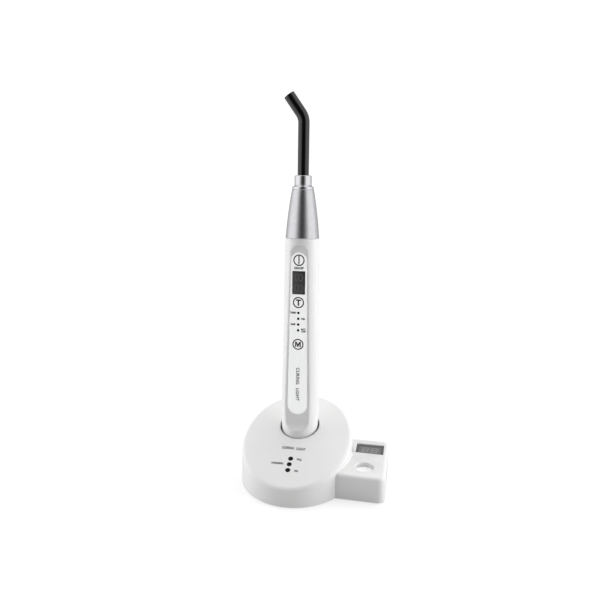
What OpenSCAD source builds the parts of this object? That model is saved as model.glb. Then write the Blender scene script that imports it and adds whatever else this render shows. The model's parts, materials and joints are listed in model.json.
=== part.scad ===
// Dental curing light standing in its charging base, with a light meter on
// the base's right side. Millimetres, +Z up. The origin is the centre of the
// oval base on the surface it stands on, and the front is -Y.

/* [Light guide] */
// Outside diameter of the black light guide
guide_d = 8.6; // [6:0.1:10]
// Wall of the guide's black sleeve
guide_wall = 0.3; // [0.25:0.05:0.6]
// Angle of the bent tip from vertical
guide_bend = 35.5; // [20:0.5:60]
// Radius of the bend along the guide's centre line
guide_bend_r = 12.5; // [10:0.5:16]
// Height of the corner where the guide's two centre lines meet
guide_corner_z = 284.8; // [276:0.1:295]
// Length from that corner to the tip
guide_tip_len = 19.6; // [14:0.1:26]
// Compass heading of the bent tip, counter-clockwise from +X
guide_heading = 191; // [0:1:359]

/* [Head] */
// Diameter of the polished collar that holds the guide
collar_d = 13.2; // [12.5:0.1:14]
// Height of the collar
collar_h = 7.4; // [6:0.1:10]
// Diameter of the plug under the collar
plug_d = 10.8; // [10.4:0.1:11]
// Height where the white body meets the metal cone
cone_z = 194.7; // [192:0.1:198]
// Height of the metal cone
cone_h = 36.7; // [34:0.1:38]
// Radius of the cone at its lower edge
cone_r_low = 13.1; // [12.5:0.05:13.5]
// Inward lean of the cone at its lower edge, in degrees
cone_lean = 4.2; // [3:0.1:5]
// Radius of the cone's long curve
cone_curve_r = 350; // [300:10:600]
// Height of the polished nose ring
nose_h = 3.3; // [2:0.1:5]

/* [Body] */
// Distance of the handpiece's axis behind the middle of the base
pen_y = 8; // [4:1:12]
// Radius of the white body at its upper end
body_r_top = 13.25; // [12.5:0.05:13.5]
// Largest radius of the white body
body_r_max = 15.2; // [14.5:0.1:15.5]
// Height of that largest radius
body_max_z = 66.5; // [60:0.5:75]
// Height of the body's lower end, where the tail cap begins
body_low_z = 20; // [19:0.5:22]
// Wall of the body
body_wall = 1.8; // [1.5:0.1:2]
// Distance of the front flat from the body's axis
flat_d = 11.55; // [11:0.05:12]
// Height of the flat's arched top
flat_top_z = 189.8; // [188:0.1:191]
// Height where the flat turns outwards into its ramp
flat_low_z = 47; // [44:0.5:49]
// Height of the ramp's lower end
ramp_low_z = 41; // [38:0.5:43]

/* [Keypad] */
// Thickness of the label
label_t = 0.5; // [0.4:0.05:0.6]
// Height of the label's lower end
label_low_z = 54.3; // [50:0.1:58]
// Height of the label's upper end
label_high_z = 184.3; // [183:0.1:186]
// Radius of the label's round lower end
label_r_low = 7.8; // [7:0.1:8]
// Radius of the label's round upper end
label_r_high = 5.95; // [5.8:0.05:6.2]
// Diameter of each push-button
key_d = 9; // [8.5:0.1:9.4]
// Travel of each push-button
key_travel = 0.4; // [0.2:0.05:0.45]
// Heights of the power, time and mode buttons
key_z = [178.5, 145.6, 112.2];
// Width of the timer display's window
window_w = 10.1; // [9:0.1:10.4]
// Lower and upper edge of that window
window_z = [152, 170.1];
// Height of the lowest of the four mode lights
mode_led_z = 123.5; // [122:0.1:125]
// Distance between neighbouring mode lights
mode_led_step = 4.63; // [4.4:0.01:4.8]
// Diameter of a mode light
mode_led_d = 2; // [1.6:0.1:2.4]

/* [Charging base] */
// Half of the base's width
base_a = 44.7; // [42:0.1:48]
// Half of the base's length
base_b = 51.8; // [49:0.1:56]
// Wall of the base's cover
base_wall = 2.2; // [1.8:0.1:3]
// Height of the tilted top's peak, on the handpiece's axis
peak_z = 43; // [40:0.5:46]
// Forward tilt of the top
top_tilt = 18.4; // [15:0.1:20]
// Slope of the top away from its peak, beyond the tilt
top_fall = 6.8; // [5:0.1:8]
// Radius of the hole for the handpiece
hole_r = 16.1; // [16:0.1:18]
// Radius of an indicator lens
lens_r = 1.9; // [1.2:0.1:2.2]
// Front-to-back places of the three indicator lenses
lens_y = [-26.5, -31.3, -36.2];

/* [Light meter] */
// Right side of the meter's box
meter_x = 73; // [70:0.5:76]
// Front and back of the meter's box
meter_y = [-31, 36];
// Height of the meter's box
meter_h = 20.5; // [19.5:0.5:22]
// Radius of the box's upright corners
meter_corner_r = 6; // [4:0.5:7]
// Radius of the box's rounded top edge
meter_edge_r = 3; // [2:0.5:3.5]
// Wall of the box
meter_wall = 2; // [1.6:0.1:2.2]
// Centre of the sensor well
well_xy = [56.2, -15];
// Radius of the sensor well
well_r = 7.7; // [6:0.1:8]
// Depth of the sensor well
well_depth = 3; // [2:0.5:3.5]
// Left and right edges of the meter's display opening
screen_x = [46.4, 69.3];
// Front and back edges of the meter's display opening
screen_y = [9, 26.5];

/* [Hidden] */
$fn = 64;
eps = 0.01;      // overlap that makes a clean cut
lap = 0.05;      // overlap of the guide's straight and bent stretches
fit = 0.05;      // gap between parts that touch
slide_fit = 0.06; // radial gap of parts that slide in one another
floor_gap = 0.5; // height of the hard shells above the table
far = 200;       // larger than the whole base

white = [0.94, 0.94, 0.93];
satin = [0.72, 0.72, 0.74];
polished = [0.85, 0.85, 0.88];
black = [0.05, 0.05, 0.06];
board_green = [0.10, 0.36, 0.20];
brass = [0.80, 0.65, 0.30];
steel = [0.62, 0.63, 0.65];

// Guide
guide_r = guide_d / 2;
core_r = guide_r - guide_wall - 0.02;
bend_tan = guide_bend_r * tan(guide_bend / 2);
bend_z = guide_corner_z - bend_tan;
tip_len = guide_tip_len - bend_tan;
cone_top_z = cone_z + cone_h;
nose_top_z = cone_top_z + nose_h;
collar_z = nose_top_z + fit;
plug_r = plug_d / 2;
plug_len = 13;
plug_z = nose_top_z - plug_len;
groove_z = plug_z + 5.2; // groove of the O-ring
groove_h = 1;
groove_r = plug_r - 0.7;
ring_r = 0.34;       // radius of the O-ring's section
collar_edge = 0.6;   // chamfer of the collar's top

// Head
nose_skirt_r = 6.6;
nose_side_h = 2.2;   // height of the nose ring's upright side
nose_slope_r = 6.9;  // upper end of the slope above it
nose_taper = 0.15;
nose_skirt_z = plug_z - 0.2;
cone_wall = 1.8;
lens_top_z = nose_skirt_z - 1;
led_board_z = 210;
led_board_t = 1.5;

// Body
body_curve = 0.0007; // how fast the body narrows below its largest radius
ramp_curve = 1.7;    // above 1 makes the ramp hollow
tail_z = 12;
tail_room_z = 27;    // the body's round bore for the tail cap ends here
window_h = window_z[1] - window_z[0];
window_mid_z = (window_z[0] + window_z[1]) / 2;
inner_flat_d = flat_d - 1.5;
board_front = 7.8;   // distance of the board's front from the axis
board_t = 1.2;
stem_r = 1.5;
key_pocket = 0.5;
switch_h = 1;
cell_r = 9.1;
cell_len = 65;
cell_z = 34;
cell_y = 1;

// Base
oval_n = 96;
plate_z = floor_gap;
plate_t = 2.5;
plate_top = plate_z + plate_t;
cup_wall = 1.6;
cup_r = hole_r + cup_wall;
cup_seat_r = 14.2;   // lower end of the cup's conical seat
cup_seat_h = 18;
cup_floor_z = tail_z - fit;
cup_floor_t = 2;
board_z = 8;
base_board_t = 1.6;
screw_r = 1.45;
screw_len = 9;
base_screw_xy = [[24, -11], [-24, -11], [24, 20], [-24, 20]];
base_post_xy = [[15, -38], [-15, -38], [15, -17], [-15, -17]];
post_r = 2.5;
pin_xy = [[0, 0], [0, -6.8]];
pin_r = 1.05;
pin_tip_z = tail_z + 1 - fit;
pin_low_z = 8.2;
barrel_r = 1.45;
barrel_z = 4;
jack_z = 11;
jack_len = 14;

// Meter
meter_left = 25;
meter_screw_xy = [[66.5, -24], [66.5, 30]];
meter_feet_xy = [[55, -24], [55, 30]];
meter_post_xy = [[50, -20], [60, -20], [50, 26], [60, 26]];
ribbon_y = [-28, -22];
slot_y = [9, 25];
slot_w = 1.4;
slot_depth = 1.2;

// ---------------------------------------------------------------- helpers

// Moves a shape drawn round the Z axis onto the handpiece's axis.
module on_pen() translate([0, pen_y, 0]) children();

// Turns a flat shape to face the front: its X stays, its Y becomes height,
// and it reaches from distance d1 to distance d2 in front of the axis.
module front_plate(d1, d2)
    translate([0, -d1, 0])
        rotate([90, 0, 0]) linear_extrude(d2 - d1) children();

// Outline with a round end of radius r_low at z_low and r_high at z_high.
module tapered_slot(z_low, r_low, z_high, r_high) {
    low = z_low + r_low;
    high = z_high - r_high;
    lean = asin((r_low - r_high) / (high - low));
    translate([0, low]) circle(r_low);
    translate([0, high]) circle(r_high);
    polygon([
        [-r_low * cos(lean), low + r_low * sin(lean)],
        [r_low * cos(lean), low + r_low * sin(lean)],
        [r_high * cos(lean), high + r_high * sin(lean)],
        [-r_high * cos(lean), high + r_high * sin(lean)]
    ]);
}

// Hollow ring standing on height z.
module tube(r_out, r_in, z, h)
    translate([0, 0, z]) difference() {
        cylinder(r = r_out, h = h);
        translate([0, 0, -1]) cylinder(r = r_in, h = h + 2);
    }

// Box between two corners.
module block(low, high) translate(low) cube(high - low);

// ------------------------------------------------------------ light guide

// Rod that rises from height z and turns over at the bend. The bend is a hair
// thinner than the straight stretches, which reach into it by lap.
module bent_rod(r, z, extra = 0)
    on_pen() rotate([0, 0, guide_heading]) {
        translate([0, 0, z]) cylinder(r = r, h = bend_z + lap - z);
        translate([guide_bend_r, 0, bend_z]) {
            rotate([90, 0, 0]) rotate([0, 0, 180 - guide_bend])
                rotate_extrude(angle = guide_bend)
                    translate([guide_bend_r, 0]) circle(r - eps);
            rotate([0, guide_bend, 0]) translate([-guide_bend_r, 0, -lap])
                cylinder(r = r, h = tip_len + lap + extra);
        }
    }

module guide_sleeve() color(black)
    difference() {
        bent_rod(guide_r, plug_z + 0.5);
        bent_rod(core_r + 0.02, plug_z, 1);
    }

module guide_core() color([0.85, 0.88, 0.90]) bent_rod(core_r, plug_z - 0.4);

module guide_ferrule() color(polished)
    on_pen() difference() {
        union() {
            translate([0, 0, collar_z]) cylinder(d = collar_d, h = collar_h - collar_edge);
            translate([0, 0, collar_z + collar_h - collar_edge])
                cylinder(d1 = collar_d, d2 = collar_d - 2 * collar_edge, h = collar_edge);
            translate([0, 0, plug_z]) cylinder(r = plug_r, h = collar_z - plug_z + 1);
        }
        tube(plug_r + 1, groove_r, groove_z, groove_h);
        translate([0, 0, plug_z - 1]) cylinder(r = guide_r + 0.02, h = 30);
    }

module guide_o_ring() color(black)
    on_pen() translate([0, 0, groove_z + groove_h / 2])
        rotate_extrude() translate([plug_r - ring_r + 0.02, 0]) circle(ring_r, $fn = 24);

// ------------------------------------------------------------------- head

// Outside radius of the cone at height h above its lower edge.
function cone_r(h) = cone_r_low - h * tan(cone_lean) - h * h / (2 * cone_curve_r);

module cone_solid(inset, h_from, h_to) {
    steps = 12;
    rotate_extrude() polygon(concat(
        [[0, cone_z + h_from]],
        [for (i = [0:steps])
            let (h = h_from + (h_to - h_from) * i / steps)
            [cone_r(h) - inset, cone_z + h]],
        [[0, cone_z + h_to]]
    ));
}

module head_cone() color(satin)
    on_pen() difference() {
        cone_solid(0, 0, cone_h);
        cone_solid(cone_wall, -eps, nose_skirt_z - cone_z);
        translate([0, 0, cone_z + 1]) cylinder(r = nose_skirt_r + fit, h = cone_h);
    }

module nose_ring() color(polished) {
    side_r = cone_r(cone_h) - 0.1;
    on_pen() difference() {
        union() {
            translate([0, 0, nose_skirt_z])
                cylinder(r = nose_skirt_r, h = nose_top_z - nose_skirt_z);
            translate([0, 0, cone_top_z + fit])
                cylinder(r1 = side_r, r2 = side_r - nose_taper, h = nose_side_h);
            translate([0, 0, cone_top_z + fit + nose_side_h])
                cylinder(r1 = side_r - nose_taper, r2 = nose_slope_r, h = nose_h - fit - nose_side_h);
        }
        translate([0, 0, nose_skirt_z - 1]) cylinder(r = plug_r + slide_fit, h = 30);
    }
}

module led_lens() color([0.90, 0.93, 0.95])
    on_pen() difference() {
        union() {
            translate([0, 0, lens_top_z - 7.2]) cylinder(r1 = 3.2, r2 = 6.2, h = 7.2);
            translate([0, 0, lens_top_z - 0.8]) cylinder(r = 7.4, h = 0.8);
        }
        translate([0, 0, lens_top_z - 7.2 - eps]) cylinder(r = 2, h = 3);
    }

module led_emitter() color([0.95, 0.85, 0.35])
    on_pen() translate([0, 0, led_board_z + led_board_t + fit]) {
        translate([-1.8, -1.8, 0]) cube([3.6, 3.6, 0.8]);
        intersection() {
            translate([0, 0, 0.8]) sphere(1.7);
            cylinder(r = 2, h = 3);
        }
    }

module led_board() color(board_green)
    on_pen() translate([0, 0, led_board_z]) cylinder(r = 8.4, h = led_board_t);

module heat_sink() color(satin)
    on_pen() difference() {
        union() {
            translate([0, 0, cone_z - 9]) cylinder(r = 8, h = 9);
            translate([0, 0, cone_z - 3]) cylinder(r = 11, h = 3 - fit);
            translate([0, 0, cone_z - 1]) cylinder(r = 8.8, h = led_board_z - cone_z + 1 - fit);
        }
        for (i = [0:3]) tube(9.5, 7, cone_z + 2 + 3 * i, 1.4);
    }

// ------------------------------------------------------------------- body

// Outside radius of the white body at height z.
function body_r(z) = z > body_max_z
    ? body_r_max - (body_r_max - body_r_top) * (z - body_max_z) / (cone_z - body_max_z)
    : body_r_max - body_curve * pow(body_max_z - z, 2);

module body_solid(inset, z_from, z_to) {
    steps = 8;
    low_end = min(body_max_z, z_to);
    rotate_extrude() polygon(concat(
        [[0, z_from]],
        [for (i = [0:steps])
            let (z = z_from + (low_end - z_from) * i / steps)
            [body_r(z) - inset, z]],
        z_to > body_max_z ? [[body_r(z_to) - inset, z_to]] : [],
        [[0, z_to]]
    ));
}

// Space in front of the flat, with an arched top and a ramp at the bottom.
module flat_cut() {
    arch_r = 7;
    ramp_out = body_r(ramp_low_z) - flat_d;
    ramp_h = flat_low_z - ramp_low_z;
    steps = 6;
    beyond = 1.25; // the cut runs past the ramp's lower end
    reach = 24;
    intersection() {
        rotate([90, 0, 90]) translate([0, 0, -20]) linear_extrude(40) polygon(concat(
            [[-reach, flat_top_z + 1], [-flat_d, flat_top_z + 1]],
            [for (i = [0:steps])
                let (t = beyond * i / steps)
                [-flat_d - ramp_out * pow(t, ramp_curve), flat_low_z - ramp_h * t]],
            [[-reach, flat_low_z - ramp_h * beyond]]
        ));
        front_plate(0, reach + 1) {
            translate([0, flat_top_z - arch_r]) circle(arch_r);
            translate([-18, 0]) square([36, flat_top_z - arch_r]);
        }
    }
}

module body_cavity() {
    spigot_z = flat_top_z + 0.7;
    body_solid(body_wall, body_low_z - 1, tail_room_z);
    intersection() {
        body_solid(body_wall, body_low_z, spigot_z);
        translate([-20, -inner_flat_d, 0]) cube([40, 40, spigot_z + 1]);
    }
    translate([0, 0, spigot_z - eps]) cylinder(r = body_r_top - body_wall, h = 10);
}

module body_shell() color(white)
    on_pen() difference() {
        body_solid(0, body_low_z, cone_z - fit);
        flat_cut();
        body_cavity();
        for (z = key_z) {
            front_plate(flat_d - key_pocket, flat_d + 1)
                translate([0, z]) circle(key_d / 2 + slide_fit);
            front_plate(inner_flat_d - 1, flat_d)
                translate([0, z]) circle(stem_r + slide_fit);
        }
        front_plate(inner_flat_d - 1, flat_d + 1)
            translate([0, window_mid_z]) square([window_w - 1.1, window_h - 1.1], center = true);
        mode_led_places() front_plate(inner_flat_d - 1, flat_d + 1) circle(mode_led_d / 2 + fit);
    }

// --------------------------------------------------------- keypad and board

module mode_led_places()
    for (i = [0:3]) translate([0, 0, mode_led_z + i * mode_led_step]) children();

module keypad_label() color([0.90, 0.91, 0.92])
    on_pen() difference() {
        front_plate(flat_d + eps, flat_d + label_t) difference() {
            tapered_slot(label_low_z, label_r_low, label_high_z, label_r_high);
            for (z = key_z) translate([0, z]) circle(key_d / 2 + slide_fit);
            translate([0, window_mid_z])
                square([window_w + 2 * fit, window_h + 2 * fit], center = true);
        }
        mode_led_places() front_plate(flat_d - 1, flat_d + 1) circle(mode_led_d / 2 + fit);
    }

// Push-button: a round cap in the label with a stem towards its switch.
module key_at(z) color([0.90, 0.91, 0.92])
    on_pen() translate([0, 0, z]) {
        front_plate(flat_d + eps, flat_d + label_t) circle(key_d / 2);
        front_plate(inner_flat_d + 0.3, flat_d + label_t / 2) circle(stem_r);
    }

module power_button() key_at(key_z[0]);

module time_button() key_at(key_z[1]);

module mode_button() key_at(key_z[2]);

module display_window() color([0.15, 0.16, 0.18])
    on_pen() front_plate(flat_d + eps, flat_d + label_t)
        translate([0, window_mid_z]) square([window_w, window_h], center = true);

module display_module() color([0.20, 0.20, 0.22])
    on_pen() front_plate(board_front + fit, flat_d - 0.1)
        translate([0, window_mid_z]) square([window_w - 1.5, window_h - 1.5], center = true);

module mode_leds() color([0.12, 0.12, 0.14])
    on_pen() mode_led_places()
        front_plate(board_front + fit, flat_d + label_t + fit) circle(mode_led_d / 2);

module main_board() color(board_green)
    on_pen() front_plate(board_front - board_t, board_front)
        translate([-7.2, 104]) square([14.4, 80]);

module tact_switches() color([0.75, 0.76, 0.78])
    on_pen() for (z = key_z) translate([0, 0, z]) {
        front_plate(board_front + fit, board_front + fit + switch_h)
            square(4.5, center = true);
        front_plate(board_front + switch_h, board_front + switch_h + 0.5) circle(1);
    }

module buzzer() color(black)
    on_pen() translate([0, 0, 126]) difference() {
        front_plate(board_front - board_t - 3.5, board_front - board_t - fit) circle(4.5);
        front_plate(0, board_front - board_t - 2.5) circle(0.8);
    }

// ------------------------------------------------------ battery and tail

module battery_cell() color([0.20, 0.45, 0.75])
    on_pen() translate([0, cell_y, cell_z]) {
        cylinder(r = cell_r, h = cell_len - 1);
        cylinder(r = 3.2, h = cell_len);
    }

module battery_contacts() color(brass)
    on_pen() translate([0, cell_y, 0]) {
        translate([0, 0, cell_z - 0.7]) cylinder(r = 6, h = 0.4);
        translate([0, 0, cell_z - 0.5]) cylinder(r = 2, h = 0.5 - fit);
        translate([0, 0, cell_z + cell_len + fit]) cylinder(r = 6, h = 0.4);
    }

module battery_holder() color([0.30, 0.31, 0.33])
    on_pen() {
        for (z = [cell_z - 2.8, cell_z + cell_len + 0.5])
            intersection() {
                translate([0, 0, z]) cylinder(r = 11.6, h = 2);
                translate([-15, 0.3 - inner_flat_d, z - 1]) cube([30, 30, 4]);
            }
        block([-4, cell_y + cell_r + 0.2, cell_z - 2.8], [4, 11.4, cell_z + cell_len + 2.5]);
    }

module tail_cap() color(white)
    on_pen() difference() {
        union() {
            body_solid(0, tail_z + 1.5, body_low_z - fit);
            translate([0, 0, tail_z])
                cylinder(r1 = body_r(tail_z) - 1.5, r2 = body_r(tail_z + 1.5), h = 1.5);
            translate([0, 0, body_low_z - 1]) cylinder(r = 11.75, h = 7);
        }
        translate([0, 0, tail_z + 3.2]) cylinder(r = 9.8, h = 20);
        translate([0, 0, tail_z - 1]) cylinder(r = 9, h = 2);
        translate([0, 0, tail_z]) cylinder(r = 2.5 + fit, h = 2);
        tube(8 + fit, 5.6 - fit, tail_z, 2);
    }

module charge_contacts() color(brass)
    on_pen() {
        translate([0, 0, tail_z + 1]) cylinder(r = 2.5, h = 0.9);
        tube(8, 5.6, tail_z + 1, 0.9);
    }

// -------------------------------------------------------- charging base

function oval(a, b) = [for (i = [0:oval_n - 1])
    [a * cos(360 * i / oval_n), b * sin(360 * i / oval_n)]];

module oval_prism(inset, z_from, z_to)
    translate([0, 0, z_from]) linear_extrude(z_to - z_from)
        polygon(oval(base_a - inset, base_b - inset));

// Everything under the tilted, slightly conical top, lowered by drop.
module under_top(drop) {
    fall = 12;
    rim_r = fall / tan(top_fall);
    translate([0, pen_y, peak_z - drop]) rotate([top_tilt, 0, 0]) {
        translate([0, 0, -fall]) cylinder(r1 = rim_r, r2 = 0, h = fall);
        translate([0, 0, -fall - 60]) cylinder(r = rim_r, h = 60);
    }
}

// Height of the top's surface on the middle line at front-to-back place y.
function top_z(y) = peak_z - (pen_y - y) * tan(top_tilt + top_fall);

// An indicator's place, square to the top's surface.
module at_lens(y)
    translate([0, y, top_z(y)]) rotate([top_tilt + top_fall, 0, 0]) children();

module screw_boss(xy)
    translate([xy[0], xy[1], plate_top + fit]) cylinder(r = 3.6, h = 60);

module ribbon_hole()
    block([30, ribbon_y[0] - 0.5, board_z + base_board_t - 0.2],
          [48, ribbon_y[1] + 0.5, board_z + base_board_t + 1.4]);

module base_cover() color(white)
    difference() {
        intersection() {
            difference() {
                oval_prism(0, floor_gap, 62);
                difference() {
                    intersection() {
                        oval_prism(base_wall, 0, 62);
                        under_top(base_wall + 0.3);
                    }
                    for (xy = base_screw_xy) screw_boss(xy);
                }
            }
            under_top(0);
        }
        translate([0, 0, -1]) oval_prism(base_wall, 0, plate_top + 1 + fit);
        on_pen() cylinder(r = hole_r, h = 80);
        for (y = lens_y) at_lens(y) translate([0, 0, -6]) cylinder(r = lens_r + fit, h = 8);
        for (xy = base_screw_xy)
            translate([xy[0], xy[1], 0]) cylinder(r = screw_r + fit, h = 10.5);
        translate([0, 40, jack_z]) rotate([-90, 0, 0]) cylinder(r = 4.5, h = 20);
        ribbon_hole();
    }

// Cup that the handpiece stands in, open below its floor.
module socket_cup() color(white)
    difference() {
        intersection() {
            on_pen() translate([0, 0, plate_top + fit]) cylinder(r = cup_r, h = 60);
            under_top(base_wall + 0.5);
        }
        on_pen() {
            translate([0, 0, cup_floor_z]) cylinder(r1 = cup_seat_r, r2 = hole_r, h = cup_seat_h);
            translate([0, 0, cup_floor_z + cup_seat_h - eps]) cylinder(r = hole_r, h = 40);
            cylinder(r = hole_r, h = cup_floor_z - cup_floor_t);
            for (xy = pin_xy) translate([xy[0], xy[1], 0])
                cylinder(r = barrel_r + fit, h = 20);
        }
    }

module indicator_lenses() color(black)
    for (y = lens_y) at_lens(y) translate([0, 0, -4]) cylinder(r = lens_r, h = 4.1);

module indicator_leds() color([0.95, 0.95, 0.85])
    for (y = lens_y) translate([-0.8, y - 0.6, board_z + base_board_t + fit])
        cube([1.6, 1.2, 1]);

module base_board() color(board_green)
    block([-19, -42, board_z], [19, -12.5, board_z + base_board_t]);

// Contact pins: plungers that spring up through the floor of the cup.
module charge_pins() color(brass)
    on_pen() for (xy = pin_xy) translate([xy[0], xy[1], 0]) {
        translate([0, 0, pin_low_z]) cylinder(r = pin_r, h = pin_tip_z - pin_low_z - 0.4);
        translate([0, 0, pin_tip_z - 0.4]) cylinder(r1 = pin_r, r2 = 0.6, h = 0.4);
    }

module pin_barrels() color(brass)
    on_pen() for (xy = pin_xy) translate([xy[0], xy[1], 0]) difference() {
        translate([0, 0, barrel_z]) cylinder(r = barrel_r, h = cup_floor_z - barrel_z);
        translate([0, 0, barrel_z + 0.5]) cylinder(r = pin_r + slide_fit, h = 20);
    }

// Coil of round wire, as a mesh that follows a helix.
module coil(r, wire_r, turns, h) {
    around = 14;
    sides = 6;
    steps = around * turns;
    points = [for (i = [0:steps], j = [0:sides - 1])
        let (a = 360 * i / around, b = 360 * j / sides, reach = r + wire_r * cos(b))
        [reach * cos(a), reach * sin(a), h * i / steps + wire_r * sin(b)]];
    walls = [for (i = [0:steps - 1], j = [0:sides - 1])
        let (k = (j + 1) % sides)
        [i * sides + j, (i + 1) * sides + j, (i + 1) * sides + k, i * sides + k]];
    ends = [
        [for (j = [0:sides - 1]) j],
        [for (j = [0:sides - 1]) steps * sides + sides - 1 - j]
    ];
    polyhedron(points, concat(walls, ends));
}

module pin_springs() color(steel)
    on_pen() for (xy = pin_xy) translate([xy[0], xy[1], barrel_z + 0.8])
        coil(0.75, 0.17, 6, pin_low_z - barrel_z - 1.1);

// Barrel socket for the power lead, open to the back.
module power_jack() color(black)
    difference() {
        union() {
            block([-4.6, 48 - jack_len, jack_z - 5], [4.6, 48, jack_z + 5]);
            translate([0, 46, jack_z]) rotate([-90, 0, 0]) cylinder(r = 4.4, h = base_b - 46.2);
        }
        difference() {
            translate([0, base_b - 10, jack_z]) rotate([-90, 0, 0]) cylinder(r = 2.75, h = 12);
            translate([0, 30, jack_z]) rotate([-90, 0, 0]) cylinder(r = 1, h = base_b - 31);
        }
    }

// Self-tapping screw with a round head, pointing up.
module screw(xy)
    translate([xy[0], xy[1], plate_z + 0.3]) difference() {
        union() {
            cylinder(r = 2.8, h = 1.2);
            cylinder(r = screw_r, h = screw_len);
        }
        for (a = [0, 90]) rotate([0, 0, a]) translate([-1.6, -0.25, -eps]) cube([3.2, 0.5, 0.7]);
    }

module screw_hole(xy)
    translate([xy[0], xy[1], 0]) {
        cylinder(r = screw_r + 0.2, h = 10);
        cylinder(r = 3, h = plate_z + 0.3 + 1.2 + fit);
    }

// Posts that carry a circuit board above its bottom plate.
module board_posts(places)
    for (xy = places) translate([xy[0], xy[1], plate_top - eps])
        cylinder(r = post_r, h = board_z - fit - plate_top + eps);

module base_bottom() color([0.85, 0.85, 0.85])
    difference() {
        union() {
            oval_prism(base_wall + 0.15, plate_z, plate_top);
            board_posts(base_post_xy);
            block([-4.6, 36, plate_top - eps], [4.6, 46, jack_z - 5 - fit]);
        }
        for (xy = base_screw_xy) screw_hole(xy);
        difference() {
            oval_prism(6 - fit, 0, plate_z + 0.4 + fit);
            oval_prism(11 + fit, -1, 5);
        }
    }

module base_screws() color(steel) for (xy = base_screw_xy) screw(xy);

module foot_ring() color([0.15, 0.15, 0.15])
    difference() {
        oval_prism(6, 0, plate_z + 0.4);
        oval_prism(11, -1, 5);
    }

// ---------------------------------------------------------- light meter

// Outline of the meter's box, drawn in from its outside by inset.
module meter_outline(inset) {
    r = meter_corner_r - inset;
    x = meter_x - meter_corner_r;
    y1 = meter_y[0] + meter_corner_r;
    y2 = meter_y[1] - meter_corner_r;
    translate([x, y1]) circle(r, $fn = 32);
    translate([x, y2]) circle(r, $fn = 32);
    translate([meter_left, y1]) square([x - meter_left + r, y2 - y1]);
    translate([meter_left, y1 - r]) square([x - meter_left, y2 - y1 + 2 * r]);
}

// Box with rounded top edges, to height top.
module meter_block(inset, z_from, top) {
    steps = 4;
    hull() for (i = [0:steps])
        let (a = 90 * i / steps, r = meter_edge_r)
        translate([0, 0, i == 0 ? z_from : top - r + r * sin(a) - eps])
            linear_extrude(i == 0 ? top - r - z_from : eps)
                meter_outline(inset + r * (1 - cos(a)));
}

// Slot in the box's top, along the base's wall.
module wall_slot()
    intersection() {
        oval_prism(-slot_w, meter_h - slot_depth, 30);
        block([35, slot_y[0], 0], [60, slot_y[1], 30]);
    }

module meter_shell() color(white)
    difference() {
        meter_block(0, floor_gap, meter_h);
        oval_prism(-fit, -1, far);
        difference() {
            meter_block(meter_wall, -1, meter_h - meter_wall);
            oval_prism(-meter_wall, -2, far);
            translate([well_xy[0], well_xy[1], meter_h - well_depth - 3])
                cylinder(r = well_r + 2, h = 20);
            for (xy = meter_screw_xy)
                translate([xy[0], xy[1], plate_top + fit]) cylinder(r = 3.2, h = 40);
        }
        translate([well_xy[0], well_xy[1], meter_h - well_depth]) cylinder(r = well_r, h = 10);
        translate([well_xy[0], well_xy[1], 5]) cylinder(r = well_r - 0.4, h = 20);
        block([screen_x[0], screen_y[0], 10], [screen_x[1], screen_y[1], 30]);
        for (xy = meter_screw_xy)
            translate([xy[0], xy[1], 0]) cylinder(r = screw_r + fit, h = 10.5);
        ribbon_hole();
        wall_slot();
    }

module meter_window() color([0.12, 0.13, 0.14])
    block([screen_x[0] + fit, screen_y[0] + fit, meter_h - meter_wall],
          [screen_x[1] - fit, screen_y[1] - fit, meter_h - 0.9]);

module meter_display() color([0.20, 0.20, 0.22])
    block([screen_x[0] + 1, screen_y[0] + 1, board_z + base_board_t + fit],
          [screen_x[1] - 1, screen_y[1] - 1, meter_h - meter_wall - fit]);

module sensor_diffuser() color([0.97, 0.97, 0.96])
    translate([well_xy[0], well_xy[1], meter_h - well_depth - 1.8])
        cylinder(r = well_r - 0.45, h = 1.8);

module photodiode() color([0.25, 0.20, 0.30])
    translate([well_xy[0], well_xy[1], board_z + base_board_t + fit]) {
        cylinder(r = 3.2, h = 3);
        cylinder(r = 2.3, h = 3.8);
    }

module meter_board() color(board_green)
    block([47, -26, board_z], [63, 32, board_z + base_board_t]);

module meter_cable() color([0.60, 0.60, 0.62])
    block([16, ribbon_y[0], board_z + base_board_t + fit],
          [50, ribbon_y[1], board_z + base_board_t + 0.8]);

module meter_bottom() color([0.85, 0.85, 0.85])
    difference() {
        union() {
            translate([0, 0, plate_z]) linear_extrude(plate_t) meter_outline(meter_wall + 0.15);
            board_posts(meter_post_xy);
        }
        oval_prism(-meter_wall - 0.15, -1, far);
        for (xy = meter_screw_xy) screw_hole(xy);
        for (xy = meter_feet_xy) translate([xy[0], xy[1], 0])
            cylinder(r = 3.5 + fit, h = plate_z + 0.4 + fit);
    }

module meter_screws() color(steel) for (xy = meter_screw_xy) screw(xy);

module meter_feet() color([0.15, 0.15, 0.15])
    for (xy = meter_feet_xy) translate([xy[0], xy[1], 0]) cylinder(r = 3.5, h = plate_z + 0.4);

// -------------------------------------------------------------- the nodes

guide_sleeve();
guide_core();
guide_ferrule();
guide_o_ring();
nose_ring();
head_cone();
led_lens();
led_emitter();
led_board();
heat_sink();
body_shell();
keypad_label();
power_button();
time_button();
mode_button();
display_window();
display_module();
mode_leds();
main_board();
tact_switches();
buzzer();
battery_cell();
battery_contacts();
battery_holder();
tail_cap();
charge_contacts();
base_cover();
socket_cup();
indicator_lenses();
indicator_leds();
base_board();
charge_pins();
pin_barrels();
pin_springs();
power_jack();
base_bottom();
base_screws();
foot_ring();
meter_shell();
meter_window();
meter_display();
sensor_diffuser();
photodiode();
meter_board();
meter_cable();
meter_bottom();
meter_screws();
meter_feet();
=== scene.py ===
import json
import math

import bmesh
import bpy
from mathutils import Matrix, Vector


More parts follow.
